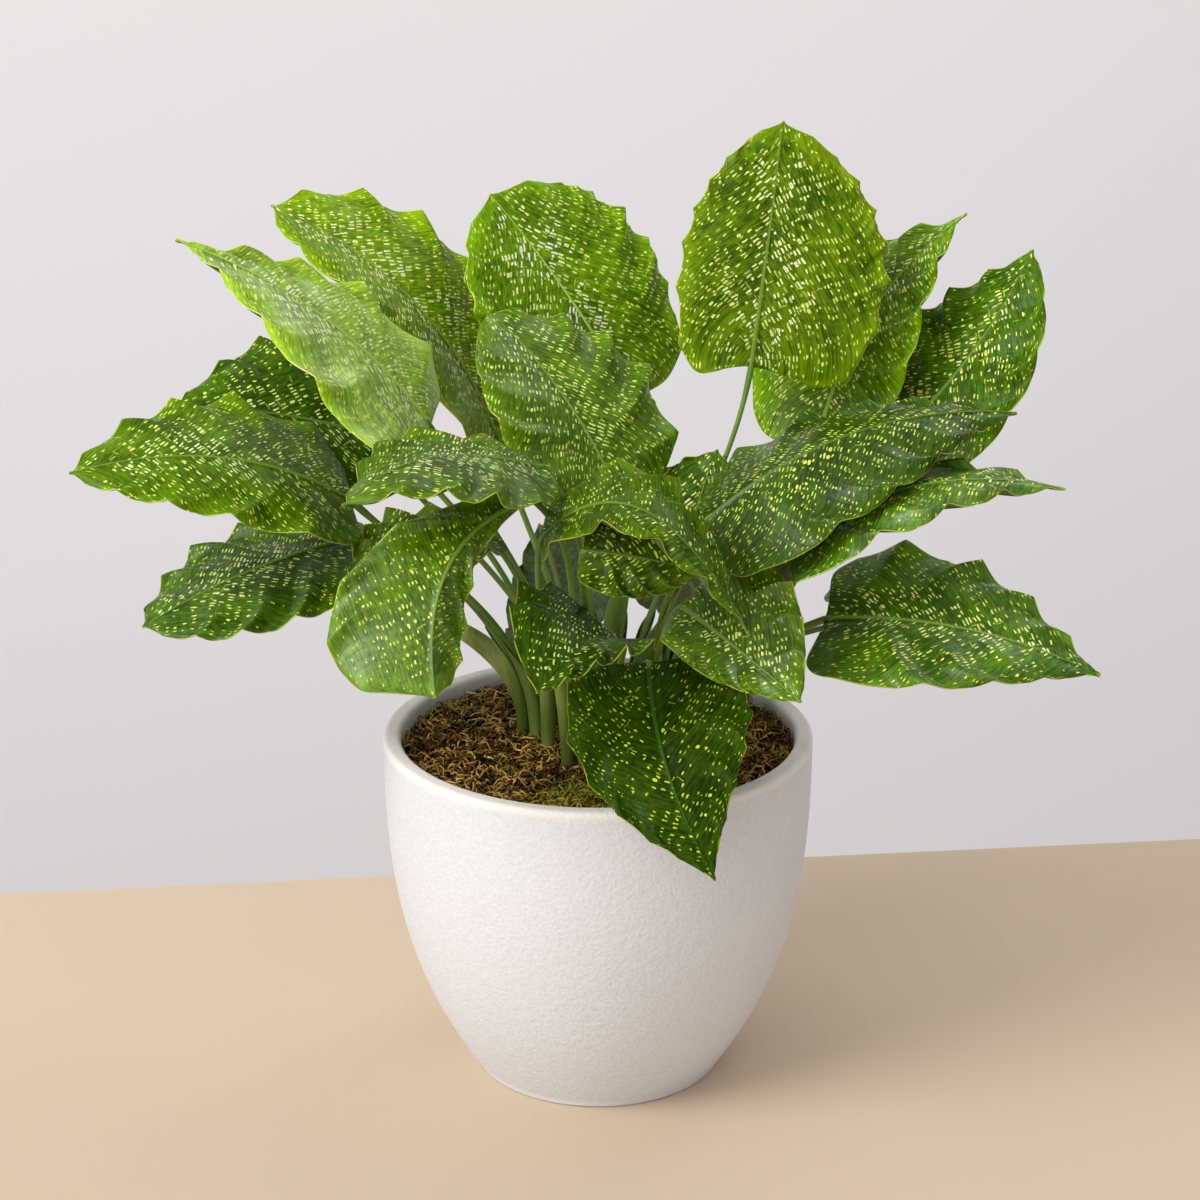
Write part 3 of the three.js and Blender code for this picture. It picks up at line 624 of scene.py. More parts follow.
def outline(s, leaf):
    widest = leaf["blunt"] / (leaf["blunt"] + leaf["taper"])
    peak = widest ** leaf["blunt"] * (1 - widest) ** leaf["taper"]
    s = np.clip(s, 0, 1)
    body = s ** leaf["blunt"] * (1 - s) ** leaf["taper"] / peak
    start = bladeForm["apexFrom"]
    shoulder = start ** leaf["blunt"] * (1 - start) ** leaf["taper"] / peak
    return np.where(s > start, shoulder * ((1 - s) / (1 - start)) ** 1.5, body)


# Places, and what the finish reads, over a grid of side veins (u) and shares of the way out (v).
def bladeSurface(leaf, rib, u, v, number):
    form = bladeForm
    out = np.abs(v)
    bowed = out + form["veinBow"] * np.sin(2 * np.pi * out) / (2 * np.pi)
    lead = form["midribLag"] + (form["marginLead"] - form["midribLag"]) * bowed
    s = u + lead * 4 * u * (1 - u)
    half = leaf["width"] / 2 * outline(s, leaf) * (1 + np.sign(v) * leaf["uneven"])
    swell = np.sqrt(np.clip(4 * s * (1 - s), 0, 1))
    stagger = np.where(v < 0, form["stagger"], 0)

    # teeth along the margin
    notch = np.pi * (leaf.get("teeth", leaf["waves"]) * u + stagger)
    lesser = np.abs(np.sin(2 * notch))
    fine = form["smallTooth"] * (leaf["tooth"] / form["fullTooth"]) ** 3
    bay = leaf["tooth"] * np.sqrt(np.sin(notch) ** 2 + form["notchRound"]) * out**3 + fine * lesser * out**6
    reach = half * out * (1 - bay)

    # ripples, ridges and slow waves across it
    turn = np.pi * (leaf["waves"] * u + stagger)
    crest = 1 - np.sqrt(np.sin(turn) ** 2 + form["crestRound"])
    wave = leaf["ripple"] * (2 * crest - 1) * out ** leaf["flat"] * swell
    wave = wave + leaf["ripple"] * form["smallRipple"] * (0.6 - lesser) * out**4 * swell
    furrow = (np.abs(np.cos(1.5 * turn)) - 0.6) * form["furrow"] * swell * np.minimum(out * 3, 1)
    luck = np.random.default_rng(number)
    drift = np.zeros_like(s)
    for _ in range(form["driftWaves"]):
        a, b, c = luck.uniform(4, 9), luck.uniform(-4, 4), luck.uniform(0, 6.28)
        drift += form["drift"] * np.sin(a * s * 2 + b * v + c)
    unrest = (furrow + drift) * np.minimum(out * 4, 1) * leaf["unrest"]

    fold = np.radians(leaf["fold"])
    height = reach * np.sin(fold) - half * leaf["cup"] * out**2 + wave + unrest
    back = leaf["lobe"] * rib.length * out**2 * (u / form["lobeAt"]) * np.exp(1 - u / form["lobeAt"])
    nearTip = np.clip((s - form["stretchFrom"]) / (1 - form["stretchFrom"]), 0, 1)
    stretch = form["apexLength"] * nearTip**2
    tangent, side, normal = rib.frameAt(s)
    place = rib.point(s) + tangent * (stretch * rib.length - back)[..., None]
    place = place + side * (np.sign(v) * reach * np.cos(fold))[..., None] + normal * height[..., None]
    return place, s, reach


# Distances between and along the side veins, and how far apart these have spread since the midrib.
def veinLayout(grid, rib, s):
    middle = grid.shape[1] // 2
    foot = rib.point(s[:, middle])
    runs = np.linalg.norm(np.diff(foot, axis=0), axis=1)
    toward = unit(np.diff(foot, axis=0))
    steps = np.linalg.norm(np.diff(grid, axis=1), axis=2)
    across, along, spreadOut = np.zeros_like(s), np.zeros_like(s), np.zeros_like(s)
    for sign, part in ((1, slice(middle, None)), (-1, slice(middle, None, -1))):
        course = unit(grid[:, middle + sign * bladeForm["courseColumn"]] - grid[:, middle])
        cosine = np.abs((course[:-1] * toward).sum(1))
        sine = np.sqrt(1 - np.clip(cosine, 0, 1) ** 2)
        apart = np.concatenate([[0], np.cumsum(runs * np.clip(sine, 0.3, 1))])
        ahead = np.concatenate([[0], np.cumsum(runs * cosine)])
        lengths = steps[:, middle:] if sign > 0 else steps[:, :middle][:, ::-1]
        walked = np.concatenate([np.zeros((len(s), 1)), np.cumsum(lengths, axis=1)], axis=1)
        across[:, part] = apart[:, None]
        along[:, part] = walked + ahead[:, None]
        strip = grid[:, part]
        course = unit(np.gradient(strip, axis=1))
        step = np.gradient(strip, axis=0)
        gap = np.linalg.norm(step - course * (step * course).sum(2, keepdims=True), axis=2)
        spreadOut[:, part] = gap / np.maximum(np.gradient(apart), 1e-6)[:, None]
    return across, along, spreadOut


def bladeMesh(name, leaf, rib, number, materials):
    form = bladeForm
    steps = leaf.get("teeth", leaf["waves"]) * form["rowsPerWave"]
    ends = np.array(form["endRows"]) / steps
    rows = np.concatenate([ends, np.arange(1, steps) / steps, 1 - ends[::-1]])
    half = np.concatenate([form["ribColumns"], np.linspace(0.1, 1, form["columns"])])
    columns = np.concatenate([-half[::-1], [0], half])
    u, v = np.meshgrid(rows, columns, indexing="ij")
    grid, s, reach = bladeSurface(leaf, rib, u, v, number)
    first, last = bladeSurface(leaf, rib, np.array([0.0, 1.0]), np.array([0.0, 0.0]), number)[0]
    across, along, spreadOut = veinLayout(grid, rib, s)
    wide = len(columns)
    middle = wide // 2

    points = np.concatenate([[first], grid.reshape(-1, 3), [last]])
    count = len(points)
    tip = count - 1
    index = 1 + np.arange(len(rows) * wide).reshape(-1, wide)
    quads = np.stack([index[:-1, :-1], index[1:, :-1], index[1:, 1:], index[:-1, 1:]], -1).reshape(-1, 4)
    caps = [(0, int(index[0, i]), int(index[0, i + 1])) for i in range(wide - 1)]
    caps += [(tip, int(index[-1, i + 1]), int(index[-1, i])) for i in range(wide - 1)]

    diagonal = np.cross(points[quads[:, 2]] - points[quads[:, 0]], points[quads[:, 3]] - points[quads[:, 1]])
    normals = np.zeros_like(points)
    for corner in range(4):
        np.add.at(normals, quads[:, corner], diagonal)
    normals[0], normals[tip] = normals[1 + middle], normals[tip - 1 - middle]
    normals = unit(normals)
    flipped = normals[index[len(rows) // 2, middle]] @ rib.normal < 0
    if flipped:
        quads = quads[:, ::-1]
        caps = [cap[::-1] for cap in caps]
        normals = -normals

    # a value at every grid point, and at the two ends
    def spread(values, start, end):
        return np.concatenate([[start], values.ravel(), [end]])

    # the midrib stands out above between two grooves, and is a keel below that fades to the tip
    thin = form["thickness"] / 2
    girth = form["ribGirth"] + (form["ribTipGirth"] - form["ribGirth"]) * s
    groove = np.exp(-((reach - form["grooveAway"] * girth) / girth) ** 2)
    ridge = np.exp(-(reach / girth) ** 2) - form["grooveDepth"] * groove
    keel = np.exp(-(reach / 1.5) ** 2) * (1 - u) + 0.12 * np.exp(-(reach / 1.2) ** 2)
    upper = points + normals * (thin + form["ribAbove"] * spread((1 - 0.5 * s) * ridge, 1, 0))[:, None]
    lower = points - normals * (thin + form["ribBelow"] * spread(keel, 1, 0))[:, None]
    faces = [tuple(q) for q in quads.tolist()] + caps
    under = [tuple(i + count for i in face[::-1]) for face in faces]
    rims = []
    for column in (0, -1):
        loop = [0] + index[:, column].tolist() + [tip]
        for a, b in zip(loop[:-1], loop[1:]):
            rim = (a, b, b + count, a + count) if column else (b, a, a + count, b + count)
            rims.append(rim[::-1] if flipped else rim)
    mesh = newMesh(name, np.concatenate([upper, lower]).tolist(), faces + under + rims, materials=materials)
    slots = np.zeros(len(mesh.polygons), np.int32)
    slots[len(faces):2 * len(faces)] = 1
    mesh.polygons.foreach_set("material_index", slots)

    corners = np.zeros(len(mesh.loops), np.int32)
    mesh.loops.foreach_get("vertex_index", corners)
    corners = corners % count
    margin = np.linalg.norm(grid - np.where(v[..., None] < 0, grid[:, :1], grid[:, -1:]), axis=2)
    for label, x, y in (
        ("veins", spread(across, 0, across[-1, middle]), spread(along, 0, along[-1, middle])),
        ("blade", spread(s, 0, 1), spread(v, 0, 0)),
        ("edge", spread(reach, 0, 0), spread(margin, 0, 0)),
        ("spread", spread(spreadOut, 1, 1), spread(spreadOut, 1, 1)),
    ):
        pairs = np.stack([x[corners], y[corners]], -1).astype(np.float32)
        mesh.uv_layers.new(name=label).data.foreach_set("uv", pairs.ravel())
    return mesh


# Stalks: a round bar along a path, and the open sheath at its foot

stalkForm = {
    "inBlade": 0.09, "swell": 1.25, "jointLength": 14.0, "jointBefore": 5.0, "end": 0.3, "arrival": 0.35,
    "thinning": 60.0,  # the length over which the foot's girth becomes the neck's
    "step": 2.5, "sides": 14, "curvePoints": 200, "bladePoints": 12,
    "slim": 0.8,  # the real stalk against the solid that stands for it
}
sheathForm = {
    "below": 6.0,  # how far it starts below the topping's highest lumps
    "columns": 15, "thickness": 0.35, "overlap": 8,
    "stand": 0.2, "footStand": 0.25,  # how far it stands off the stalk, everywhere and at the foot
    "paleFoot": 0.35,  # how pale it is at the foot, against its top
}


# How a tree ends that makes stalks or strands: a tube of the given girth along each curve.
def endInTube(w, curve, sides, girth, surface, result):
    ring = w.flow("GeometryNodeCurvePrimitiveCircle", {"Resolution": sides, "Radius": 1.0})
    tube = w.flow("GeometryNodeCurveToMesh", {"Curve": curve, "Profile Curve": ring, "Scale": girth,
                                              "Fill Caps": True})
    smooth = w.flow("GeometryNodeSetShadeSmooth", {"Geometry": tube})
    real = w.flow("GeometryNodeRealizeInstances", {"Geometry": smooth})
    w.put(w.flow("GeometryNodeSetMaterial", {"Geometry": real, "Material": surface}), result["Geometry"])


def tubeTree():
    inputs = {"Geometry": "geometry", "Sides": "int", "Surface": "material"}
    tree, w, given, result = newGroup("tubeAlongPath", inputs, {"Geometry": "geometry"}, "GeometryNodeTree")
    girth = w.flow("GeometryNodeInputNamedAttribute", {"Name": "girth"}, data_type="FLOAT")
    path = w.flow("GeometryNodeMeshToCurve", {"Mesh": given["Geometry"]})
    endInTube(w, path, given["Sides"], girth, given["Surface"], result)
    return tree


def runTree(obj, tree, **inputs):
    modifier = obj.modifiers.new("shape", "NODES")
    modifier.node_group = tree
    for item in tree.interface.items_tree:
        if item.in_out == "INPUT" and item.name in inputs:
            modifier[item.identifier] = inputs[item.name]
    obj.data.update()
    mesh = finishedMesh(obj)
    obj.modifiers.clear()
    return mesh


# The stalk's course from the mix into the blade, with its girth, its swollen joint and its height.
def stalkPath(leaf, rib):
    form = stalkForm
    ground = np.array([*leaf["root"], filling["mossTop"] + filling["mound"] + filling["lumps"]], float)
    foot = ground * [1, 1, 0] + [0, 0, filling["mixTop"] - filling["rootDepth"]]
    reach = np.linalg.norm(rib.base - ground)
    straight = unit(rib.base - ground)
    heading = unit(straight + (rib.tangent(0.0) - straight) * leaf["lean"])
    upper = rib.base - heading * form["arrival"] * reach
    lower = ground + [0, 0, leaf["rise"] * reach]
    t = np.linspace(0, 1, form["curvePoints"])[:, None]
    back = 1 - t
    curve = ground * back**3 + lower * 3 * t * back**2 + upper * 3 * t * t * back + rib.base * t**3
    inBlade = rib.point(np.linspace(0, form["inBlade"], form["bladePoints"])[1:])
    dense = np.concatenate([foot[None], curve, inBlade])
    walked = np.concatenate([[0], np.cumsum(np.linalg.norm(np.diff(dense, axis=0), axis=1))])
    length, atBlade = walked[-1], walked[form["curvePoints"]]
    at = np.linspace(0, length, int(length / form["step"]) + 1)
    points = np.stack([np.interp(at, walked, dense[:, axis]) for axis in range(3)], -1)
    height = at - (ground[2] - foot[2])
    up = np.clip(height / form["thinning"], 0, 1)
    joint = np.clip(1 - np.abs(at - atBlade + form["jointBefore"]) / form["jointLength"], 0, 1)
    joint = joint * joint * (3 - 2 * joint)
    end = np.clip((length - at) / (length - atBlade), form["end"], 1)
    girth = (leaf["stalk"] + (leaf["neck"] - leaf["stalk"]) * up) * (1 + (form["swell"] - 1) * joint) * end
    return points, girth * form["slim"], joint, height


def stalkMesh(name, points, girth, joint, tree, skin):
    edges = [(i, i + 1) for i in range(len(points) - 1)]
    path = addObject(name, newMesh(name, (points * mm).tolist(), [], edges))
    addLayer(path.data, "girth", girth * mm)
    addLayer(path.data, "joint", joint)
    addLayer(path.data, "sheath", np.zeros(len(points)))
    mesh = runTree(path, tree, Sides=stalkForm["sides"], Surface=skin)
    bpy.data.objects.remove(path)
    return mesh


# The leaf's foot wraps its stalk as an open sheath, whose two edges run together at the top.
def sheathMesh(name, leaf, points, girth, height, skin):
    form = sheathForm
    wide = form["columns"]
    keep = (height > -form["below"]) & (height < leaf["sheath"])
    centre, radius, share = points[keep], girth[keep], np.clip(height[keep] / leaf["sheath"], 0, 1)
    tangent = unit(np.gradient(centre, axis=0))
    outward = unit(np.array([*leaf.get("sheathFace", leaf["root"]), 0], float))
    first = unit(outward - tangent * (tangent @ outward)[:, None])
    second = np.cross(tangent, first)
    half = np.radians(leaf["wrap"] * (1 - share**3) + form["overlap"])
    stand = form["stand"] + leaf["flare"] * share * (1 - share) * 2 + form["footStand"] * (1 - share)
    grid = np.zeros((len(centre), wide, 3))
    for i, turn in enumerate(np.linspace(-1, 1, wide)):
        angle = half * turn
        away = (radius + stand * (0.4 + 0.6 * abs(turn)))[:, None]
        grid[:, i] = centre + away * (first * np.cos(angle)[:, None] + second * np.sin(angle)[:, None])
    index = np.arange(len(centre) * wide).reshape(-1, wide)
    quads = np.stack([index[:-1, :-1], index[:-1, 1:], index[1:, 1:], index[1:, :-1]], -1).reshape(-1, 4)
    sheet = newMesh(name, (grid.reshape(-1, 3) * mm).tolist(), quads.tolist(), materials=[skin])
    pale = leaf["pale"] * (form["paleFoot"] + (1 - form["paleFoot"]) * share)
    addLayer(sheet, "sheath", np.repeat(pale, wide))
    obj = addObject(name, sheet)
    wall = obj.modifiers.new("wall", "SOLIDIFY")
    wall.thickness, wall.offset = form["thickness"] * mm, 1
    mesh = finishedMesh(obj)
    bpy.data.objects.remove(obj)
    return mesh


def joinMeshes(name, meshes):
    objects = [addObject(name, mesh) for mesh in meshes]
    whole = objects[0]
    with bpy.context.temp_override(active_object=whole, object=whole, selected_objects=objects,
                                   selected_editable_objects=objects):
        bpy.ops.object.join()
    whole.name = whole.data.name = name
    shadeSmooth(whole.data)
    return whole


def makeLeaves():
    upperGroup, tube = dashGroup(), tubeTree()
    underside, stalkSkin = undersideMaterial(undersideGroup()), stalkMaterial()
    for number, own in enumerate(leaves, start=1):
        leaf = {**usual, **own}
        rib = Rib(leaf)
        name = f"leaf{number:02d}"
        materials = [leafMaterial(number, leaf, upperGroup), underside, stalkSkin]
        blade = bladeMesh(name, leaf, rib, number, materials)
        blade.transform(np.diag([mm, mm, mm, 1]).tolist())
        points, girth, joint, height = stalkPath(leaf, rib)
        stalk = stalkMesh(name + "stalk", points, girth, joint, tube, stalkSkin)
        sheath = sheathMesh(name + "sheath", leaf, points, girth, height, stalkSkin)
        piece = joinMeshes(name, [blade, stalk, sheath])
        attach(piece, "root")
        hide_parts(f"leaf_{number:02d}")
    print("leaves made:", len(leaves))


# Pot: one smooth turned wall with the source's profile

pot = {
    "height": 172.0, "widest": 103.5, "foot": 60.0, "belly": 2.8, "wall": 8.5, "floor": 12.0,
    "rimRound": 2.5, "footRound": 2.0, "sides": 144, "rings": 48, "rimSteps": 8, "footSteps": 6,
    # the rim's band is painted lighter and warmer than the pot: painted light on the rim's top
    "colour": "e1e4ea", "shade": "d6d9de", "pits": "b4b2ae",
    "rimPaintedLight": "f4efe9", "rimSmudge": "b9b0a8", "rimBand": (166.5, 171.5),  # the heights where it sets in
    "innerSmudge": "a39c95", "innerRadius": (96.5, 95.0), "innerHeight": (130.0, 150.0),
}


def potRadius(height):
    down = np.clip(1 - np.asarray(height) / pot["height"], 0, 1)
    return pot["widest"] - (pot["widest"] - pot["foot"]) * down ** pot["belly"]


def innerRadius(height):
    return float(potRadius(height)) - pot["wall"]


# Turns a profile of radii and heights; a point on the axis closes it with a fan.
def turnedPiece(name, profile, sides, material):
    turn = np.arange(sides) * 2 * np.pi / sides
    points, rings = [], []
    for radius, height in profile:
        onAxis = radius < 1e-9
        rings.append([len(points)] if onAxis else list(range(len(points), len(points) + sides)))
        around = zip(radius * np.cos(turn), radius * np.sin(turn), [height] * sides)
        points.extend([(0, 0, height)] if onAxis else around)
    faces = []
    for low, high in zip(rings[:-1], rings[1:]):
        for i in range(sides):
            j = (i + 1) % sides
            corners = [low[i % len(low)], low[j % len(low)], high[j % len(high)], high[i % len(high)]]
            faces.append(tuple(dict.fromkeys(corners)))
    mesh = newMesh(name, (np.array(points, float) * mm).tolist(), faces, materials=[material])
    shadeSmooth(mesh)
    return addObject(name, mesh)


def arc(centre, radius, start, end, steps):
    turns = np.radians(np.linspace(start, end, steps))
    return [(centre[0] + radius * math.cos(t), centre[1] + radius * math.sin(t)) for t in turns]


def potMaterial():
    w = newMaterial("potMatteWhite", Specular_IOR_Level=0.3)
    place = w.place()
    x, y, z = w.parts(place)
    pebble = w.noise(place, 560.0)
    coarse = w.noise(place, 210.0)
    cloud = w.noise(place, 9.0)
    blotches = w.noise(w.vector(x * 34.0, y * 34.0, z * 60.0), detail=4.0, roughness=0.65)

    def between(value, limits):
        return w.smooth(value, limits[0] * mm, limits[1] * mm)

    skin = w.mix(w.smooth(cloud, 0.35, 0.7) * 0.35, colour(pot["colour"]), colour(pot["shade"]))
    skin = w.mix(w.smooth(pebble, 0.35, 0.65, 0.14, 0.0), skin, colour(pot["pits"]))
    nearRim = between(z, pot["rimBand"])
    # painted light: the rim band lighter and warmer, as if its top were better lit
    skin = w.mix(nearRim, skin, colour(pot["rimPaintedLight"]))
    skin = w.mix(nearRim * w.smooth(blotches, 0.54, 0.72) * 0.22, skin, colour(pot["rimSmudge"]))
    # the inside of the wall darker in blotches towards its top
    inner = between(w.distance(x, y), pot["innerRadius"]) * between(z, pot["innerHeight"])
    skin = w.mix(inner * 0.2 * w.smooth(blotches, 0.3, 0.65), skin, colour(pot["innerSmudge"]))
    return w.surface(skin, 0.62 + coarse * 0.2, pebble * 0.7 + coarse * 0.6, 0.7, 0.7)


def makePot():
    rimRound, footRound = pot["rimRound"], pot["footRound"]
    shoulder = pot["height"] - rimRound
    outer, inner, foot = float(potRadius(shoulder)), innerRadius(shoulder), float(potRadius(footRound))
    heights = np.linspace(footRound, shoulder, pot["rings"])
    profile = [(0, 0), (foot * 0.5, 0)]
    profile += arc((foot - footRound, footRound), footRound, -90, 0, pot["footSteps"])[:-1]
    profile += [(float(potRadius(h)), h) for h in heights]
    profile += arc((outer - rimRound, shoulder), rimRound, 0, 90, pot["rimSteps"])[1:]
    profile += arc((inner + rimRound, shoulder), rimRound, 90, 180, pot["rimSteps"])
    profile += [(innerRadius(h), h) for h in heights[::-1][1:] if h > pot["floor"]]
    profile += [(innerRadius(pot["floor"]), pot["floor"]), (0, pot["floor"])]
    piece = turnedPiece("pot_body", profile, pot["sides"], potMaterial())
    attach(piece, "root")
    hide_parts("pot")
    print("pot made")


# Topping: a lumpy bed, and loose strands laid over it

topping = {
    "sides": 120, "rings": 34, "gap": 0.3, "wallGap": 0.6,
    "lumpWaves": 9, "lumpSpread": (0.25, 0.7), "lumpHeight": 0.28, "lumpSeed": 5, "lowered": 1.0,
    # the bed's near-black browns are partly the coir's own colour and partly painted shade for the deep gaps
    # between the strands
    "bedDark": "080401", "bedLight": "241606", "bedCloud": "1c1006",
    "strandLength": 14.0, "strandGirth": 0.5, "strandPoints": 16, "curl": 15.0, "crimp": 7.0,
    "curlScale": 110.0, "crimpScale": 310.0,  # how close its bends and its small kinks are, per metre
    "coilRadius": 1.7, "coilTurns": 2.0,  # each strand winds loosely round its own line
    "turns": ((-3.1, -0.55, 0.0), (3.1, 0.55, 6.2832)), "scales": (0.6, 1.5),  # how a strand may lie
    "mossPatch": (-8.0, -80.0), "mossReach": 26.0,  # where green strands crowd
    "edge": 93.5,  # how far out a strand may reach
    "strands": (  # name, count, how much more crowded in the patch, seed, lift, and its three colours
        # the third colour of each kind is a painted glint
        ("strands_dark", 2040, 0.0, 11, -0.6, ("0e0602", "402806", "644416")),
        ("strands_light", 1800, 0.0, 23, 0.6, ("6a4a16", "c89c4c", "ffe098")),
        ("strands_moss", 170, 45.0, 37, 1.2, ("565808", "a49c2c", "d8c850")),
    ),
}


def mossHeight(x, y):
    out = np.hypot(x, y) / innerRadius(filling["mossTop"])
    length = filling["lumpLength"]
    across = np.sin(x / length + np.sin(y / length))
    along = np.cos(y / length - np.sin(x / length / 2))
    return float(filling["mossTop"] + filling["mound"] * (1 - out**2) + filling["lumps"] * across * along)


def bedMaterial():
    w = newMaterial("toppingBed", Specular_IOR_Level=0.2)
    crumbs = w.noise(w.place(), 420.0, 4.0, 0.7)
    cloud = w.noise(w.place(), 60.0)
    # partly painted shade: the bed kept near black, as the shaded depths between the strands
    skin = w.mix(w.smooth(crumbs, 0.4, 0.75), colour(topping["bedDark"]), colour(topping["bedLight"]))
    skin = w.mix(w.smooth(cloud, 0.45, 0.7) * 0.4, skin, colour(topping["bedCloud"]))
    return w.surface(skin, 0.8 + crumbs * 0.15, crumbs, 1.2)


def strandMaterial(name, deep, light, glint):
    w = newMaterial(name, Specular_IOR_Level=0.25)
    tone = w.layer("tone")
    fleck = w.noise(w.place(), 260.0, 3.0)
    skin = w.mix(w.smooth(tone, 0.1, 0.85), colour(deep), colour(light))
    # painted glint: flecks of the glint colour on the lighter strands
    skin = w.mix(w.smooth(fleck, 0.5, 0.75) * w.smooth(tone, 0.5, 1.0), skin, colour(glint))
    return w.surface(skin, 0.6 + fleck * 0.25, fleck, 0.2)


def strandTree():
    inputs = {"Geometry": "geometry", "Count": "value", "Crowd": "value", "Seed": "int", "Length": "value",
              "Girth": "value", "Curl": "value", "Edge": "value", "Lift": "value", "Surface": "material"}
    tree, w, given, result = newGroup("strandsOnBed", inputs, {"Geometry": "geometry"}, "GeometryNodeTree")

    def chance(low, high, offset, kind="FLOAT"):
        least, most, output = {"FLOAT": (2, 3, 1), "FLOAT_VECTOR": (0, 1, 0)}[kind]
        inputs = {least: low, most: high, "Seed": given["Seed"] + float(offset)}
        return w.flow("FunctionNodeRandomValue", inputs, output, data_type=kind)

    def joined(operation, a, b):
        return w.flow("ShaderNodeVectorMath", {0: a, 1: b}, operation=operation)

    # spots on the bed, closer together in the mossy patch
    x, y, _ = w.parts(w.flow("GeometryNodeInputPosition"))
    patchX, patchY = topping["mossPatch"]
    away = w.distance(x - patchX * mm, y - patchY * mm)
    reach = topping["mossReach"] * mm
    crowd = w.fade(away, reach * 0.4, reach)
    density = given["Count"] * (1.0 + crowd * given["Crowd"])
    spots = w.flow("GeometryNodeDistributePointsOnFaces", {"Mesh": given["Geometry"], "Seed": given["Seed"],
                                                           "Density": density})
    toned = w.flow("GeometryNodeStoreNamedAttribute", {"Geometry": spots, "Name": "tone",
                                                       "Value": chance(0.0, 1.0, 1)},
                   data_type="FLOAT", domain="POINT")

    # on each a coiled line, laid any way round
    line = w.flow("GeometryNodeCurvePrimitiveLine", {"Direction": (1, 0, 0), "Length": given["Length"]},
                  mode="DIRECTION")
    cut = w.flow("GeometryNodeResampleCurve", {"Curve": line, "Count": topping["strandPoints"]})
    angle = w.flow("GeometryNodeSplineParameter") * (2 * math.pi * topping["coilTurns"])
    radius = topping["coilRadius"] * mm
    coil = w.vector(given["Length"] * -0.5, w.math("SINE", angle) * radius, w.math("COSINE", angle) * radius)
    coiled = w.flow("GeometryNodeSetPosition", {"Geometry": cut, "Offset": coil})
    turn = w.flow("FunctionNodeEulerToRotation", {0: chance(*topping["turns"], 2, "FLOAT_VECTOR")})
    laid = w.flow("GeometryNodeInstanceOnPoints", {"Points": toned, "Instance": coiled, "Rotation": turn,
                                                   "Scale": chance(*topping["scales"], 3)})
    real = w.flow("GeometryNodeRealizeInstances", {"Geometry": laid})

    # each strand curls in its own way
    place = w.flow("GeometryNodeInputPosition")
    tone = w.flow("GeometryNodeInputNamedAttribute", {"Name": "tone"}, data_type="FLOAT")
    bends = []
    kinks = (topping["crimpScale"], topping["crimp"] * mm)
    for scale, reach in ((topping["curlScale"], given["Curl"]), kinks):
        waves = w.flow("ShaderNodeTexNoise", {"Vector": place, "W": tone * 400.0, "Scale": scale,
                                              "Detail": 1.0}, 1, noise_dimensions="4D")
        swing = joined("SUBTRACT", waves, (0.5, 0.5, 0.44))
        bends.append(joined("MULTIPLY", swing, w.vector(reach, reach, reach * 0.6)))
    curled = w.flow("GeometryNodeSetPosition", {"Geometry": real, "Offset": joined("ADD", *bends)})

    # and stays inside the pot
    x, y, z = w.parts(w.flow("GeometryNodeInputPosition"))
    pull = w.smaller(given["Edge"] / w.larger(w.distance(x, y), 0.001), 1.0)
    inside = w.vector(x * pull, y * pull, z + given["Lift"])
    kept = w.flow("GeometryNodeSetPosition", {"Geometry": curled, "Position": inside})
    taper = 1.0 - abs(w.flow("GeometryNodeSplineParameter") * 2.0 - 1.0) ** 3.0
    girth = given["Girth"] * (0.3 + taper * 0.7) * (0.6 + tone * 0.7)
    endInTube(w, kept, 3, girth, given["Surface"], result)
    return tree


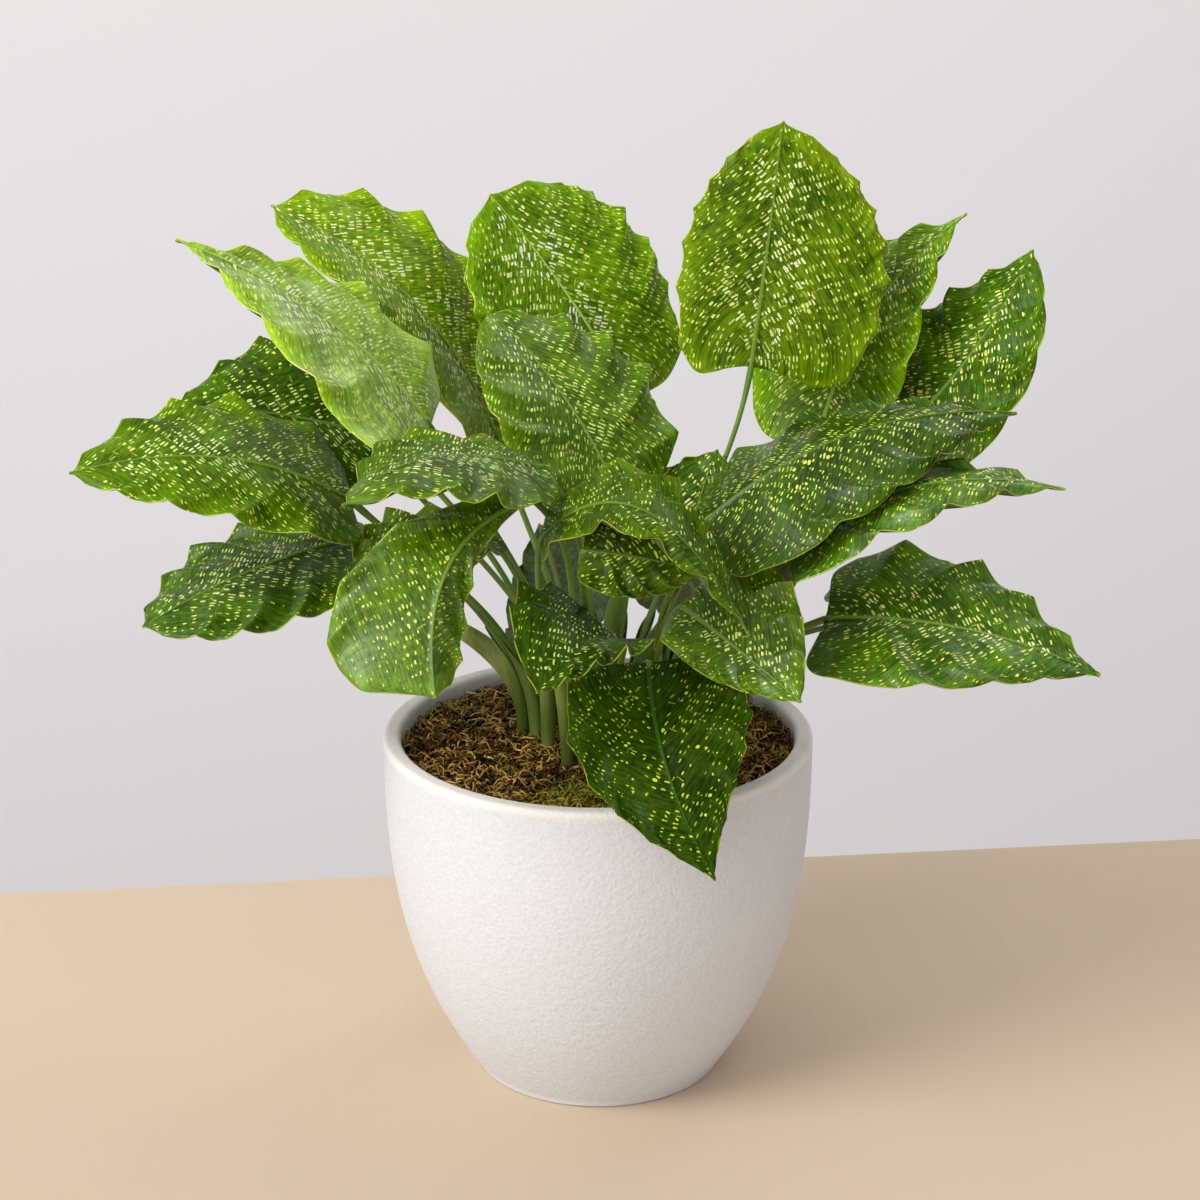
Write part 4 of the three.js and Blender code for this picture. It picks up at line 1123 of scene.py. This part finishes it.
def makeTopping():
    top, bottom = filling["mossTop"], filling["mixTop"] + topping["gap"]
    radii = np.linspace(0, innerRadius(top) - topping["wallGap"], topping["rings"] + 1)[1:]
    profile = [(0, bottom), (innerRadius(bottom) - topping["wallGap"], bottom)]
    profile += [(r, top) for r in radii[::-1]] + [(0, top)]
    bed = turnedPiece("topping_bed", profile, topping["sides"], bedMaterial())
    luck = np.random.default_rng(topping["lumpSeed"])
    shape = (topping["lumpWaves"], 2)
    waves = luck.uniform(*topping["lumpSpread"], shape) * luck.choice([-1, 1], shape)
    phases = luck.uniform(0, 6.28, topping["lumpWaves"])
    for vertex in bed.data.vertices:
        if vertex.co.z > (top - 1) * mm:
            x, y = vertex.co.x / mm, vertex.co.y / mm
            lumps = np.sin(waves @ [x, y] + phases).sum() * topping["lumpHeight"]
            vertex.co.z = (mossHeight(x, y) + lumps - topping["lowered"]) * mm
    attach(bed, "root")
    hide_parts("moss_topping")

    upward = [face for face in bed.data.polygons if face.normal.z > 0.2]
    area = sum(face.area for face in upward)
    points = [tuple(vertex.co) for vertex in bed.data.vertices]
    carrier = addObject("bedTop", newMesh("bedTop", points, [tuple(face.vertices) for face in upward]))
    tree = strandTree()
    for name, count, crowd, seed, lift, tones in topping["strands"]:
        mesh = runTree(carrier, tree, Count=count / area, Crowd=crowd, Seed=seed, Lift=lift * mm,
                       Length=topping["strandLength"] * mm, Girth=topping["strandGirth"] * mm,
                       Curl=topping["curl"] * mm, Edge=topping["edge"] * mm,
                       Surface=strandMaterial(name + "Fibre", *tones))
        mesh.name = name
        piece = addObject(name, mesh)
        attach(piece, "root")
        print(name, len(mesh.polygons), "faces")
    bpy.data.objects.remove(carrier)


# Potting mix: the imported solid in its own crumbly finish

mixTint = {"dark": "150d08", "light": "3b281a", "bits": "8d8377"}


def dressMix():
    w = newMaterial("pottingMix", Specular_IOR_Level=0.2)
    crumbs = w.noise(w.place(), 300.0, 4.0, 0.7)
    bits = w.smooth(w.noise(w.place(), 700.0, 1.0), 0.62, 0.7)
    skin = w.mix(crumbs, colour(mixTint["dark"]), colour(mixTint["light"]))
    skin = w.mix(bits * 0.5, skin, colour(mixTint["bits"]))
    material = w.surface(skin, 0.82 + crumbs * 0.15, crumbs, 1.5)
    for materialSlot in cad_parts["potting_mix"].material_slots:
        materialSlot.material = material


makeStudio()
makePot()
dressMix()
makeTopping()
makeLeaves()
